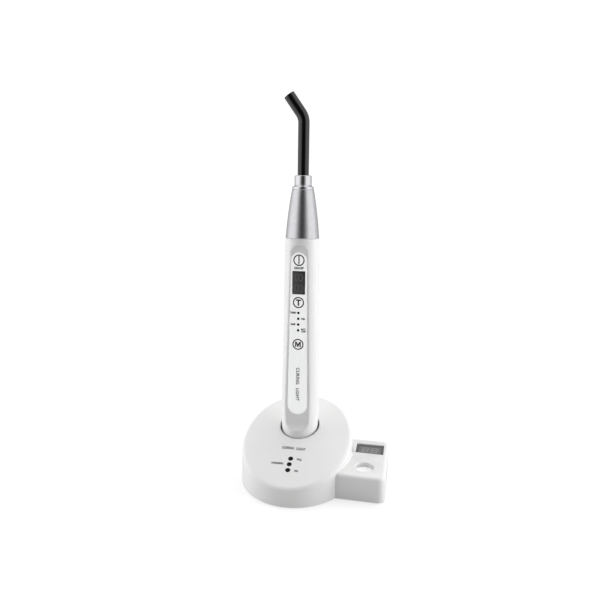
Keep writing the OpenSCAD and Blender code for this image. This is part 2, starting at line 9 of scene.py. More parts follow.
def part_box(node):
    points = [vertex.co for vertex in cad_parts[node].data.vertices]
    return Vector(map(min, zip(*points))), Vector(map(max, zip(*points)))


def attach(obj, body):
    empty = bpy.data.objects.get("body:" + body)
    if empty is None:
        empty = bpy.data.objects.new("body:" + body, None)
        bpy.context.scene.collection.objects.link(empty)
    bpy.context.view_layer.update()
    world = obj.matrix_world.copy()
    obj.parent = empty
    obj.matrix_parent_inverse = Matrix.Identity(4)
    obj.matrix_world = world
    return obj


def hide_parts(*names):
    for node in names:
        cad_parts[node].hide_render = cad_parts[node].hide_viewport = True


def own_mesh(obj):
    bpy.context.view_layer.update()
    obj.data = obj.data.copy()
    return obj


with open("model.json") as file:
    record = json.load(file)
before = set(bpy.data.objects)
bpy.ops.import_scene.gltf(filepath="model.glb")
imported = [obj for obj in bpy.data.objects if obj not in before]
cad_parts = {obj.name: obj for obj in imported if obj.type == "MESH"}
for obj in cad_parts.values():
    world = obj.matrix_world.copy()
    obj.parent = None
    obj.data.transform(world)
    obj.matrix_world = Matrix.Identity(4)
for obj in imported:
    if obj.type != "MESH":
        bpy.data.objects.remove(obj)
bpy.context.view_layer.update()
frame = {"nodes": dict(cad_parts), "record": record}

# The looks of a dental curing light that stands in its charging base, built
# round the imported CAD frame. Lengths are metres, in the frame's own axes.

MM = 0.001


def centre_of(node):
    low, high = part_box(node)
    return (low + high) / 2


def half_width(node):
    low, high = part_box(node)
    return (high.x - low.x) / 2


def mount(name):
    return next(m for m in frame["record"]["mounts"] if m["name"] == name)


# ---------------------------------------------------------------- dimensions

PEN = Vector((centre_of("head_cone").x, centre_of("head_cone").y, 0))

# Handpiece body: its radius at the top, where it is widest, and how it narrows
BODY_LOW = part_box("body_shell")[0].z
BODY_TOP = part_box("body_shell")[1].z
BODY_R_TOP = half_width("head_cone") + 0.15 * MM
BODY_R_MAX = half_width("body_shell")
BODY_WIDEST = 66.5 * MM
BODY_NARROWS = 0.7
BODY_WALL = 1.8 * MM

# The flat on the body's front
FLAT_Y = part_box("keypad_label")[1].y
FLAT_D = PEN.y - FLAT_Y
FLAT_TOP = 189.8 * MM
FLAT_LOW = 47 * MM
RAMP_LOW = 41 * MM
RAMP_CURVE = 1.7
ARCH_R = 7 * MM
EDGE_SOFT = 0.4 * MM

# Keypad
LABEL_LOW, LABEL_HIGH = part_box("keypad_label")
LABEL_T = LABEL_HIGH.y - LABEL_LOW.y
LABEL_R_LOW = half_width("keypad_label")
LABEL_R_HIGH = 5.95 * MM
KEYS = {"power": "power_button", "time": "time_button", "mode": "mode_button"}
KEY_R = half_width("power_button")
KEY_GAP = 0.06 * MM
PRINT_T = 0.03 * MM

# Charging base
BASE_A = half_width("base_cover")
BASE_B = (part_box("base_cover")[1].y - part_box("base_cover")[0].y) / 2
BASE_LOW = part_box("base_cover")[0].z
BASE_WALL = 2.2 * MM
SHOULDER_R = 4.4 * MM
TOP_TILT = math.radians(18.4)
TOP_FALL = math.radians(6.8)
TOP_PEAK = 43 * MM
CUP_R = half_width("socket_cup")
HOLE_R = CUP_R - 1.6 * MM
LENS_R = half_width("indicator_lenses")

# Light meter
METER_LOW, METER_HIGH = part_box("meter_shell")
METER_CORNER = 6 * MM
METER_EDGE = 3 * MM
METER_WALL = 2 * MM
WELL = Vector(mount("sensor_well")["pos_m"])
WELL_R = mount("sensor_well")["dims"]["r_mm"] * MM
WELL_DEPTH = mount("sensor_well")["dims"]["length_mm"] * MM

# Light guide
TIP = Vector(mount("guide_tip")["pos_m"])
TIP_AXIS = Vector(mount("guide_tip")["axis"]).normalized()
GUIDE_R = mount("guide_tip")["dims"]["r_mm"] * MM
GUIDE_BEND_R = 12.5 * MM
GUIDE_CORE_R = GUIDE_R - 0.32 * MM

# The camera stands in front, a little to the right, and looks slightly down
CAMERA_AWAY = 0.420
CAMERA_UP = 0.2240
CAMERA_AZIMUTH = math.radians(11.6)
CAMERA_TURN = math.radians(11.55)
CAMERA_PITCH = math.radians(10.4)
CAMERA_ROLL = math.radians(0.74)
CAMERA_LENS = 32.8

# The dark part of the room, which makes the stripe down the metal cone
DARK_AZIMUTH = math.radians(8)

# ------------------------------------------------------------- mesh building


def make_object(name, verts, faces):
    mesh = bpy.data.meshes.new(name)
    mesh.from_pydata([tuple(v) for v in verts], [], faces)
    mesh.validate()
    obj = bpy.data.objects.new(name, mesh)
    bpy.context.scene.collection.objects.link(obj)
    return obj


def bake(obj):
    """Applies the object's modifiers to its mesh."""
    bpy.context.view_layer.update()
    graph = bpy.context.evaluated_depsgraph_get()
    mesh = bpy.data.meshes.new_from_object(obj.evaluated_get(graph))
    obj.modifiers.clear()
    obj.data = mesh


def cut(obj, cutters):
    for cutter in cutters:
        step = obj.modifiers.new("cut", "BOOLEAN")
        step.operation = "DIFFERENCE"
        step.solver = "EXACT"
        step.object = cutter
    bake(obj)
    for cutter in cutters:
        bpy.data.objects.remove(cutter)


def bevel(obj, width, segments=3, angle=50):
    step = obj.modifiers.new("bevel", "BEVEL")
    step.width = width
    step.segments = segments
    step.limit_method = "ANGLE"
    step.angle_limit = math.radians(angle)
    step.harden_normals = False
    bake(obj)


def finish_piece(obj, material, body, nodes=(), sharp=32):
    """Smooth shading, a material, and a place on its CAD body."""
    mesh = obj.data
    mesh.materials.clear()
    mesh.materials.append(material)
    mesh.polygons.foreach_set("use_smooth", [True] * len(mesh.polygons))
    mesh.set_sharp_from_angle(angle=math.radians(sharp))
    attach(obj, body)
    if nodes:
        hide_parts(*nodes)
    return obj


def skin(rings, closed=False):
    """Quads between rings of equal length; a ring of one point is a pole."""
    verts, starts = [], []
    for ring in rings:
        starts.append(len(verts))
        verts.extend(ring)
    faces = []
    pairs = list(zip(range(len(rings) - 1), range(1, len(rings))))
    if closed:
        pairs.append((len(rings) - 1, 0))
    for i, j in pairs:
        a, b, n, m = starts[i], starts[j], len(rings[i]), len(rings[j])
        for k in range(max(n, m)):
            k2 = (k + 1) % max(n, m)
            if n == 1:
                faces.append((a, b + k2, b + k))
            elif m == 1:
                faces.append((a + k, a + k2, b))
            else:
                faces.append((a + k, a + k2, b + k2, b + k))
    return verts, faces


def outward(obj):
    """Turns every face to point out of the solid."""
    bm = bmesh.new()
    bm.from_mesh(obj.data)
    bmesh.ops.remove_doubles(bm, verts=bm.verts, dist=1e-7)
    bmesh.ops.recalc_face_normals(bm, faces=bm.faces)
    bm.to_mesh(obj.data)
    bm.free()
    return obj


def fillet(points, steps=5):
    """Rounds the corners of a closed profile: each point is (a, b, radius)."""
    out = []
    count = len(points)
    for i, (a, b, radius) in enumerate(points):
        here = Vector((a, b))
        back = Vector(points[i - 1][:2]) - here
        ahead = Vector(points[(i + 1) % count][:2]) - here
        if radius <= 0 or back.length < 1e-9 or ahead.length < 1e-9:
            out.append((a, b))
            continue
        half = back.angle(ahead) / 2
        reach = min(radius / math.tan(half), 0.49 * back.length, 0.49 * ahead.length)
        radius = reach * math.tan(half)
        centre = here + (back.normalized() + ahead.normalized()).normalized() * radius / math.sin(half)
        start = here + back.normalized() * reach - centre
        end = here + ahead.normalized() * reach - centre
        for k in range(steps + 1):
            t = k / steps
            point = start.slerp(end, t, start) if start.length > 1e-12 else start
            out.append(tuple(centre + point.normalized() * radius))
    return out


def turned(name, profile, place=None, sides=128):
    """Solid of revolution of a closed (radius, height) profile round its axis."""
    place = place or Matrix.Translation(PEN)
    rings = []
    for radius, height in profile:
        if radius < 1e-7:
            rings.append([place @ Vector((0, 0, height))])
            continue
        rings.append([
            place @ Vector((radius * math.cos(2 * math.pi * k / sides),
                            radius * math.sin(2 * math.pi * k / sides), height))
            for k in range(sides)
        ])
    on_axis = len(rings[0]) == 1 and len(rings[-1]) == 1
    return outward(make_object(name, *skin(rings, closed=not on_axis)))


def rod(name, start, end, radius, sides=64):
    """Plain cutter between two points."""
    axis = Vector(end) - Vector(start)
    turn = axis.to_track_quat("Z", "Y").to_matrix().to_4x4()
    place = Matrix.Translation(Vector(start)) @ turn
    profile = [(0, 0), (radius, 0), (radius, axis.length), (0, axis.length)]
    return turned(name, profile, place, sides)


def brick(name, low, high):
    """Plain cutter between two corners."""
    x, y, z = zip(low, high)
    verts = [(x[i & 1], y[i >> 1 & 1], z[i >> 2 & 1]) for i in range(8)]
    faces = [(0, 2, 3, 1), (4, 5, 7, 6), (0, 1, 5, 4), (2, 6, 7, 3), (0, 4, 6, 2), (1, 3, 7, 5)]
    return make_object(name, verts, faces)


def plate(name, outline, holes, thickness, edge, place):
    """Flat plate with softened edges from closed outlines in its own plane."""
    curve = bpy.data.curves.new(name, "CURVE")
    curve.dimensions = "2D"
    curve.fill_mode = "BOTH"
    curve.extrude = thickness / 2 - edge
    curve.bevel_depth = edge
    curve.bevel_resolution = 2
    curve.offset = -edge
    for points in [outline] + holes:
        spline = curve.splines.new("POLY")
        spline.points.add(len(points) - 1)
        for point, (a, b) in zip(spline.points, points):
            point.co = (a, b, 0, 1)
        spline.use_cyclic_u = True
    source = bpy.data.objects.new(name + "_outline", curve)
    bpy.context.scene.collection.objects.link(source)
    bpy.context.view_layer.update()
    graph = bpy.context.evaluated_depsgraph_get()
    mesh = bpy.data.meshes.new_from_object(source.evaluated_get(graph))
    bpy.data.objects.remove(source)
    obj = bpy.data.objects.new(name, mesh)
    bpy.context.scene.collection.objects.link(obj)
    mesh.transform(place)
    return outward(obj)


def arc(cx, cy, radius, start, end, steps):
    """Points on an arc, with its angles in degrees."""
    return [
        (cx + radius * math.cos(math.radians(start + (end - start) * k / steps)),
         cy + radius * math.sin(math.radians(start + (end - start) * k / steps)))
        for k in range(steps + 1)
    ]


def circle(cx, cy, radius, sides=64):
    return arc(cx, cy, radius, 0, 360 - 360 / sides, sides - 1)


def rectangle(x0, y0, x1, y1, corner):
    return (arc(x1 - corner, y1 - corner, corner, 0, 90, 6)
            + arc(x0 + corner, y1 - corner, corner, 90, 180, 6)
            + arc(x0 + corner, y0 + corner, corner, 180, 270, 6)
            + arc(x1 - corner, y0 + corner, corner, 270, 360, 6))


def front_place(y, z=0.0, x=0.0):
    """Stands a shape drawn in X and Y upright, facing the front, at y."""
    return Matrix.Translation((PEN.x + x, y, z)) @ Matrix.Rotation(math.pi / 2, 4, "X")


# ----------------------------------------------------------------- materials


def new_material(name):
    material = bpy.data.materials.new(name)
    material.use_nodes = True
    tree = material.node_tree
    return material, tree.nodes, tree.links, tree.nodes["Principled BSDF"]


def noise(nodes, links, scale, detail=3.0, stretch=(1, 1, 1)):
    """A noise texture in frame coordinates, with scale in cells per metre."""
    place = nodes.new("ShaderNodeTexCoord")
    mapping = nodes.new("ShaderNodeMapping")
    mapping.inputs["Scale"].default_value = stretch
    texture = nodes.new("ShaderNodeTexNoise")
    texture.inputs["Scale"].default_value = scale
    texture.inputs["Detail"].default_value = detail
    links.new(place.outputs["Object"], mapping.inputs["Vector"])
    links.new(mapping.outputs["Vector"], texture.inputs["Vector"])
    return texture.outputs["Fac"]


def spread(nodes, links, value, low, high):
    """Maps a noise value to the range low to high."""
    step = nodes.new("ShaderNodeMapRange")
    step.inputs["From Min"].default_value = 0.2
    step.inputs["From Max"].default_value = 0.8
    step.inputs["To Min"].default_value = low
    step.inputs["To Max"].default_value = high
    links.new(value, step.inputs["Value"])
    return step.outputs["Result"]


def bumps(nodes, links, shader, layers):
    """Stacks bump layers, each (noise output, depth in metres)."""
    normal = None
    for value, depth in layers:
        step = nodes.new("ShaderNodeBump")
        step.inputs["Strength"].default_value = 1.0
        step.inputs["Distance"].default_value = depth
        links.new(value, step.inputs["Height"])
        if normal is not None:
            links.new(normal, step.inputs["Normal"])
        normal = step.outputs["Normal"]
    links.new(normal, shader.inputs["Normal"])


def tint(nodes, links, shader, value, dark, light):
    """Base colour that drifts between two close tones."""
    step = nodes.new("ShaderNodeMix")
    step.data_type = "RGBA"
    step.inputs["A"].default_value = (*dark, 1)
    step.inputs["B"].default_value = (*light, 1)
    links.new(spread(nodes, links, value, 0, 1), step.inputs["Factor"])
    links.new(step.outputs["Result"], shader.inputs["Base Color"])
    return step.outputs["Result"]


def moulded(name, dark, light, rough, grain=2400, depth=2e-6, coat=0.0, painted_glow=0.0, shine=0.5):
    """Moulded plastic or rubber: slow tone drift, fine grain, faint waviness, and an optional painted glow in its own
    colour.
    """
    material, nodes, links, shader = new_material(name)
    colour = tint(nodes, links, shader, noise(nodes, links, 45), dark, light)
    rough_value = spread(nodes, links, noise(nodes, links, 160), rough * 0.9, rough * 1.1)
    links.new(rough_value, shader.inputs["Roughness"])
    bumps(nodes, links, shader, [
        (noise(nodes, links, 90, 0.0), 4e-6),
        (noise(nodes, links, grain, 1.0), depth),
    ])
    shader.inputs["Specular IOR Level"].default_value = shine
    shader.inputs["Coat Weight"].default_value = coat
    shader.inputs["Coat Roughness"].default_value = 0.08
    # A painted glow: the surface gives off light in its own colour, though it is no lamp.
    if painted_glow:
        links.new(colour, shader.inputs["Emission Color"])
        shader.inputs["Emission Strength"].default_value = painted_glow
    return material


def metal(name, dark, light, rough, grain, depth, stretch=(1, 1, 1), aniso=0.0):
    """Metal with a fine finish that varies slowly over the surface."""
    material, nodes, links, shader = new_material(name)
    shader.inputs["Metallic"].default_value = 1.0
    shader.inputs["Anisotropic"].default_value = aniso
    tint(nodes, links, shader, noise(nodes, links, 300, 4.0, stretch), dark, light)
    rough_value = spread(nodes, links, noise(nodes, links, grain, 2.0, stretch), rough * 0.8, rough * 1.2)
    links.new(rough_value, shader.inputs["Roughness"])
    bumps(nodes, links, shader, [(noise(nodes, links, grain, 2.0, stretch), depth)])
    return material


def glassy_black(name):
    """Black glass sleeve: deep black face on, with clear reflections at its sides."""
    material = moulded(name, grey(0.003), grey(0.006), 0.07, grain=3500, depth=3e-7)
    nodes, links = material.node_tree.nodes, material.node_tree.links
    shader = nodes["Principled BSDF"]
    facing = nodes.new("ShaderNodeLayerWeight")
    shine = nodes.new("ShaderNodeMapRange")
    shine.inputs["From Min"].default_value = 0.03
    shine.inputs["From Max"].default_value = 0.09
    shine.inputs["To Min"].default_value = 0.05
    shine.inputs["To Max"].default_value = 0.85
    links.new(facing.outputs["Facing"], shine.inputs["Value"])
    links.new(shine.outputs["Result"], shader.inputs["Specular IOR Level"])
    return material


def clear(name, colour, rough, ior=1.5):
    material, nodes, links, shader = new_material(name)
    shader.inputs["Base Color"].default_value = (*colour, 1)
    shader.inputs["Transmission Weight"].default_value = 0.9
    shader.inputs["IOR"].default_value = ior
    value = spread(nodes, links, noise(nodes, links, 400), rough * 0.6, rough * 1.4)
    links.new(value, shader.inputs["Roughness"])
    bumps(nodes, links, shader, [(noise(nodes, links, 900), 1e-6)])
    return material


def grey(value):
    return (value, value, value)


def make_materials():
    """One material for each slot of the record."""
    return {
        "white_shell": moulded("white_shell", (0.80, 0.80, 0.797), (0.82, 0.82, 0.817), 0.30, coat=0.15),
        # label_film glows faintly: painted light that makes the label and the key caps brighter than the white shell
        # under the same lamps.
        "label_film": moulded("label_film", (0.93, 0.935, 0.94), (0.96, 0.965, 0.97), 0.38, grain=5000, painted_glow=0.26),
        "plate_white": moulded("plate_white", grey(0.68), grey(0.74), 0.5, grain=1500, depth=1e-5),
        "guide_black": glassy_black("guide_black"),
        "print_black": moulded("print_black", grey(0.020), grey(0.035), 0.5, grain=6000),
        "indicator_black": moulded("indicator_black", grey(0.002), grey(0.004), 0.12, shine=0.25),
        "smoked_window": moulded("smoked_window", grey(0.040), grey(0.046), 0.12, depth=3e-7, coat=0.6),
        "meter_glass": moulded("meter_glass", grey(0.085), grey(0.095), 0.14, depth=3e-7, coat=0.5),
        "display_body": moulded("display_body", grey(0.05), grey(0.07), 0.35),
        "holder_grey": moulded("holder_grey", grey(0.14), grey(0.18), 0.5, grain=1800, depth=6e-6),
        "buzzer_black": moulded("buzzer_black", grey(0.02), grey(0.03), 0.45),
        "jack_black": moulded("jack_black", grey(0.02), grey(0.035), 0.42, grain=1800, depth=5e-6),
        "seal_rubber": moulded("seal_rubber", grey(0.015), grey(0.03), 0.7),
        "foot_rubber": moulded("foot_rubber", grey(0.04), grey(0.07), 0.85, grain=1200, depth=2e-5),
        # The diffuser glows faintly: a painted glow, as if it were lit from within.
        "diffuser": moulded("diffuser", grey(0.90), grey(0.94), 0.55, grain=1800, depth=5e-6, painted_glow=0.05),
        "emitter": moulded("emitter", (0.80, 0.66, 0.16), (0.88, 0.76, 0.24), 0.3),
        "indicator_led": moulded("indicator_led", (0.80, 0.80, 0.66), (0.88, 0.88, 0.76), 0.2),
        "diode": moulded("diode", (0.07, 0.05, 0.10), (0.10, 0.07, 0.14), 0.15, coat=0.6),
        "circuit_board": moulded("circuit_board", (0.015, 0.14, 0.05), (0.03, 0.22, 0.09), 0.35, grain=900, depth=2e-5),
        "cell_wrap": moulded("cell_wrap", (0.04, 0.17, 0.42), (0.06, 0.22, 0.52), 0.28, coat=0.3),
        "ribbon": moulded("ribbon", grey(0.42), grey(0.48), 0.5, grain=1500),
        "chrome": metal("chrome", (0.76, 0.76, 0.79), (0.82, 0.82, 0.85), 0.10, 1800, 4e-7),
        "satin_aluminium": metal("satin_aluminium", (0.66, 0.66, 0.685), (0.76, 0.76, 0.785), 0.25, 2600, 6e-6),
        "contact_brass": metal("contact_brass", (0.72, 0.54, 0.22), (0.82, 0.64, 0.30), 0.22, 1800, 1e-6),
        "spring_steel": metal("spring_steel", grey(0.50), grey(0.60), 0.25, 3000, 1e-6),
        "screw_steel": metal("screw_steel", grey(0.52), grey(0.64), 0.28, 2200, 2e-6),
        "switch_metal": metal("switch_metal", grey(0.55), grey(0.65), 0.30, 2000, 1e-6, (1, 1, 8)),
        "clear_lens": clear("clear_lens", (0.95, 0.97, 1.0), 0.04),
        "fibre_glass": moulded("fibre_glass", (0.30, 0.26, 0.22), (0.40, 0.36, 0.31), 0.08, grain=9000, coat=1.0),
    }


MATERIALS = make_materials()


def dress_cad_nodes():
    """Gives every CAD node that stays its slot's material and softer shading."""
    slots = {s["node"]: s["material_slot"] for s in frame["record"]["subparts"]}
    for node, obj in frame["nodes"].items():
        obj.data.materials.clear()
        obj.data.materials.append(MATERIALS[slots[node]])
        obj.data.polygons.foreach_set("use_smooth", [True] * len(obj.data.polygons))
        obj.data.set_sharp_from_angle(angle=math.radians(30))


# --------------------------------------------------------------- light guide


def guide_stations(low):
    """Centres and directions along the guide's path from height low to its tip."""
    level = Vector((TIP_AXIS.x, TIP_AXIS.y, 0)).normalized()
    bend = math.acos(TIP_AXIS.z)
    away = (Vector((TIP.x, TIP.y, 0)) - PEN).length
    corner_z = TIP.z - away / math.tan(bend)
    bend_z = corner_z - GUIDE_BEND_R * math.tan(bend / 2)
    stations = [(PEN + Vector((0, 0, low + (bend_z - low) * k / 6)), 0.0) for k in range(6)]
    hub = PEN + level * GUIDE_BEND_R + Vector((0, 0, bend_z))
    for k in range(25):
        turn = bend * k / 24
        arm = -level * math.cos(turn) + Vector((0, 0, math.sin(turn)))
        stations.append((hub + arm * GUIDE_BEND_R, turn))
    last = stations[-1][0]
    stations += [(last.lerp(TIP, k / 4), bend) for k in range(1, 4)]
    return stations, level, bend


def guide_ring(centre, turn, level, radius, sides=72):
    side = Vector((0, 0, 1)).cross(level)
    across = level * math.cos(turn) - Vector((0, 0, 1)) * math.sin(turn)
    return [
        centre + (across * math.cos(2 * math.pi * k / sides)
                  + side * math.sin(2 * math.pi * k / sides)) * radius
        for k in range(sides)
    ]


def light_guide():
    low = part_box("guide_sleeve")[0].z
    stations, level, bend = guide_stations(low)
    lip = 0.3 * MM
    outer = [guide_ring(c, t, level, GUIDE_R) for c, t in stations]
    for k in range(6):
        a = math.pi / 2 * k / 5
        centre = TIP - TIP_AXIS * lip * (1 - math.sin(a))
        outer.append(guide_ring(centre, bend, level, GUIDE_R - lip * (1 - math.cos(a))))
    bore = GUIDE_CORE_R + 0.02 * MM
    inner = [guide_ring(TIP, bend, level, bore)]
    inner += [guide_ring(c, t, level, bore) for c, t in reversed(stations)]
    sleeve = outward(make_object("light_guide", *skin(outer + inner, closed=True)))
    finish_piece(sleeve, MATERIALS["guide_black"], "guide", ["guide_sleeve"])


def light_guide_core():
    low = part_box("guide_core")[0].z
    stations, level, bend = guide_stations(low)
    rings = [[stations[0][0]]]
    rings += [guide_ring(c, t, level, GUIDE_CORE_R, 48) for c, t in stations]
    dome = 0.12 * MM
    for share in (1.0, 0.97, 0.85, 0.6, 0.3):
        rise = dome * (1 - share ** 2)
        rings.append(guide_ring(TIP - TIP_AXIS * (dome - rise), bend, level, GUIDE_CORE_R * share, 48))
    rings.append([TIP])
    core = outward(make_object("light_guide_core", *skin(rings)))
    finish_piece(core, MATERIALS["fibre_glass"], "guide", ["guide_core"])


def collar():
    low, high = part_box("guide_ferrule")
    r = half_width("guide_ferrule")
    plug = 5.4 * MM
    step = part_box("nose_ring")[1].z + 0.05 * MM
    groove = low.z + 5.2 * MM
    groove_r = plug - 0.7 * MM
    bore = GUIDE_R + 0.02 * MM
    profile = fillet([
        (bore, low.z, 0.1 * MM), (plug, low.z, 0.4 * MM),
        (plug, groove, 0.1 * MM), (groove_r, groove, 0),
        (groove_r, groove + 1 * MM, 0), (plug, groove + 1 * MM, 0.1 * MM),
        (plug, step, 0), (r, step, 0.25 * MM),
        (r, high.z, 0.9 * MM), (bore, high.z, 0.25 * MM),
    ], 6)
    obj = turned("guide_collar", profile, sides=160)
    finish_piece(obj, MATERIALS["chrome"], "guide", ["guide_ferrule"])


# ----------------------------------------------------------------------- head


def cone_radius(height):
    """Radius of the metal cone at a height above its lower edge."""
    lean = math.tan(math.radians(4.2))
    return half_width("head_cone") - height * lean - height ** 2 / (2 * 350 * MM)


def head_cone():
    low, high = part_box("head_cone")
    tall = high.z - low.z
    wall = 1.8 * MM
    bore = 6.65 * MM
    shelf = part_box("nose_ring")[0].z
    edge = 0.25 * MM
    outside = [(cone_radius(0) - edge, low.z), (cone_radius(0) - 0.07 * MM, low.z + 0.07 * MM)]
    steps = 48
    for k in range(steps + 1):
        h = edge + (tall - 2 * edge) * k / steps
        outside.append((cone_radius(h), low.z + h))
    outside += [(cone_radius(tall) - 0.08 * MM, high.z - 0.07 * MM), (cone_radius(tall) - edge, high.z)]
    inside = [(bore, high.z), (bore, shelf), (cone_radius(shelf - low.z) - wall, shelf)]
    inside += [(cone_radius((shelf - low.z) * k / 8) - wall, low.z + (shelf - low.z) * k / 8)
               for k in range(7, -1, -1)]
    obj = turned("metal_cone", outside + inside, sides=192)
    finish_piece(obj, MATERIALS["satin_aluminium"], "handpiece", ["head_cone"])


def nose_ring():
    low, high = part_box("nose_ring")
    r = half_width("nose_ring")
    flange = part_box("head_cone")[1].z + 0.05 * MM
    skirt = 6.6 * MM
    bore = 5.46 * MM
    waist = 6.7 * MM
    crown = high.z - 1.15 * MM
    profile = fillet([
        (bore, low.z, 0), (skirt, low.z, 0), (skirt, flange, 0), (r - 0.15 * MM, flange, 0.1 * MM),
        (r, flange + 0.25 * MM, 0.2 * MM), (r - 0.15 * MM, crown, 0.7 * MM),
        (waist + 0.15 * MM, high.z - 0.3 * MM, 0.15 * MM), (waist, high.z, 0.05 * MM), (bore, high.z, 0.1 * MM),
    ], 8)
    obj = turned("polished_nose_ring", profile, sides=160)
    finish_piece(obj, MATERIALS["chrome"], "handpiece", ["nose_ring"])


# ------------------------------------------------------------ handpiece body


def body_radius(z):
    if z > BODY_WIDEST:
        share = (z - BODY_WIDEST) / (BODY_TOP - BODY_WIDEST)
        return BODY_R_MAX - (BODY_R_MAX - BODY_R_TOP) * share
    return BODY_R_MAX - BODY_NARROWS * (BODY_WIDEST - z) ** 2


def soft_min(a, b, width):
    overlap = max(width - abs(a - b), 0) / width
    return min(a, b) - overlap * overlap * width / 4


def flat_distance(z):
    """Distance of the flat from the axis; it grows down the hollow ramp."""
    share = max(0.0, FLAT_LOW - z) / (FLAT_LOW - RAMP_LOW)
    return FLAT_D + (body_radius(RAMP_LOW) - FLAT_D) * share ** RAMP_CURVE


def arch_share(x, z):
    """1 inside the flat's arched outline, 0 above it, soft in between."""
    top = FLAT_TOP - ARCH_R
    if z < top:
        return 1.0
    inside = ARCH_R - math.hypot(x, z - top)
    t = min(1.0, max(0.0, inside / (2 * EDGE_SOFT) + 0.5))
    return t * t * (3 - 2 * t)


def body_point(angle, z, inset=0.0):
    """Point of the body's skin; angle 0 faces the front."""
    radius = body_radius(z) - inset
    facing = math.cos(angle)
    if facing > 0.2:
        flat = (flat_distance(z) - inset) / facing
        flattened = soft_min(radius, flat, EDGE_SOFT)
        radius += arch_share(radius * math.sin(angle), z) * (flattened - radius)
    return PEN + Vector((radius * math.sin(angle), -radius * facing, z))


def body_angles(z):
    """Angles of a ring's points: rows of them follow the flat's two edges."""
    radius = body_radius(z)
    edge = math.acos(min(1.0, FLAT_D / radius))
    near = [s * MM / radius for s in (-0.6, -0.4, -0.25, -0.12, 0, 0.12, 0.25, 0.4, 0.6)]
    inner = edge + near[0] * 1.4
    outer = edge + near[-1] * 1.4
    front = [inner * (k / 40 - 1) for k in range(81)]
    side = [edge + step for step in near]
    back = [outer + (2 * math.pi - 2 * outer) * k / 96 for k in range(97)]
    return front + side + back + [2 * math.pi - a for a in reversed(side)]


def body_heights():
    seam = 0.15 * MM
    low = [BODY_LOW, BODY_LOW + seam, BODY_LOW + 3 * MM, 28 * MM, 33 * MM, 37 * MM]
    ramp = [38.5 * MM + 0.3 * MM * k for k in range(34)]
    middle = [50.5 * MM + 5.4 * MM * k for k in range(25)]
    arch = [182 * MM + 0.2 * MM * k for k in range(49)]
    return low + ramp + middle + arch + [193 * MM, BODY_TOP - seam, BODY_TOP]


def body_shell():
    heights = body_heights()
    outer = []
    for i, z in enumerate(heights):
        inset = 0.12 * MM if i in (0, len(heights) - 1) else 0.0
        outer.append([body_point(a, z, inset) for a in body_angles(z)])
    inner = [[body_point(a, z, BODY_WALL) for a in body_angles(z)]
             for z in (BODY_TOP, 192 * MM, 188 * MM, 180 * MM, 120 * MM, BODY_WIDEST, 50 * MM, 46 * MM, 43 * MM, 38 * MM, BODY_LOW)]
    obj = outward(make_object("body_barrel", *skin(outer + inner, closed=True)))
    cutters = []
    for node in KEYS.values():
        z = centre_of(node).z
        start = Vector((PEN.x, FLAT_Y - 1 * MM, z))
        cutters.append(rod("pocket", start, start + Vector((0, 1.5 * MM, 0)), KEY_R + KEY_GAP))
        cutters.append(rod("stem_hole", start, start + Vector((0, 4 * MM, 0)), 1.56 * MM, 32))
    low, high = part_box("display_module")
    low = Vector((low.x - 0.2 * MM, FLAT_Y - 2 * MM, low.z - 0.2 * MM))
    high = Vector((high.x + 0.2 * MM, FLAT_Y + 4 * MM, high.z + 0.2 * MM))
    cutters.append(brick("window_hole", low, high))
    cut(obj, cutters)
    finish_piece(obj, MATERIALS["white_shell"], "handpiece", ["body_shell"], 40)


def tail_cap():
    low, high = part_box("tail_cap")
    rim = BODY_LOW - 0.05 * MM
    r = body_radius(low.z)
    profile = fillet([
        (0, low.z + 1 * MM, 0), (9 * MM, low.z + 1 * MM, 0.1 * MM),
        (9 * MM, low.z, 0.4 * MM), (r - 0.6 * MM, low.z, 1.6 * MM),
        (body_radius(rim), rim, 0.15 * MM), (11.75 * MM, rim, 0),
        (11.75 * MM, high.z, 0.4 * MM), (9.8 * MM, high.z, 0.3 * MM),
        (9.8 * MM, low.z + 3.2 * MM, 0.5 * MM), (0, low.z + 3.2 * MM, 0),
    ], 6)
    obj = turned("tail_end", profile, sides=128)
    pads_low, pads_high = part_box("charge_contacts")
    pads = [
        rod("pad_hole", (PEN.x, PEN.y, pads_low.z - 1 * MM), (PEN.x, PEN.y, pads_high.z), 2.53 * MM),
        turned("ring_hole", [(5.57 * MM, pads_low.z - 1 * MM), (8.03 * MM, pads_low.z - 1 * MM),
                             (8.03 * MM, pads_high.z), (5.57 * MM, pads_high.z)]),
    ]
    cut(obj, pads)
    finish_piece(obj, MATERIALS["white_shell"], "handpiece", ["tail_cap"])


# --------------------------------------------------------------------- keypad


def label_outline():
    low, high = LABEL_LOW.z + LABEL_R_LOW, LABEL_HIGH.z - LABEL_R_HIGH
    lean = math.degrees(math.asin((LABEL_R_LOW - LABEL_R_HIGH) / (high - low)))
    return (arc(0, high, LABEL_R_HIGH, lean, 180 - lean, 48)
            + arc(0, low, LABEL_R_LOW, 180 - lean, 360 + lean, 56))


def keypad_label():
    low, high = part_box("display_window")
    gap = 0.05 * MM
    holes = [circle(0, centre_of(node).z, KEY_R + KEY_GAP) for node in KEYS.values()]
    holes.append(rectangle(low.x - PEN.x - gap, low.z - gap, high.x - PEN.x + gap, high.z + gap, 0.4 * MM))
    holes += [circle(0, z, 1.05 * MM, 32) for z in led_heights()]
    place = front_place((LABEL_LOW.y + LABEL_HIGH.y) / 2)
    obj = plate("keypad_film", label_outline(), holes, LABEL_T, 0.08 * MM, place)
    finish_piece(obj, MATERIALS["label_film"], "handpiece", ["keypad_label"])


def led_heights():
    low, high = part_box("mode_leds")
    first, last = low.z + 1 * MM, high.z - 1 * MM
    return [first + (last - first) * k / 3 for k in range(4)]


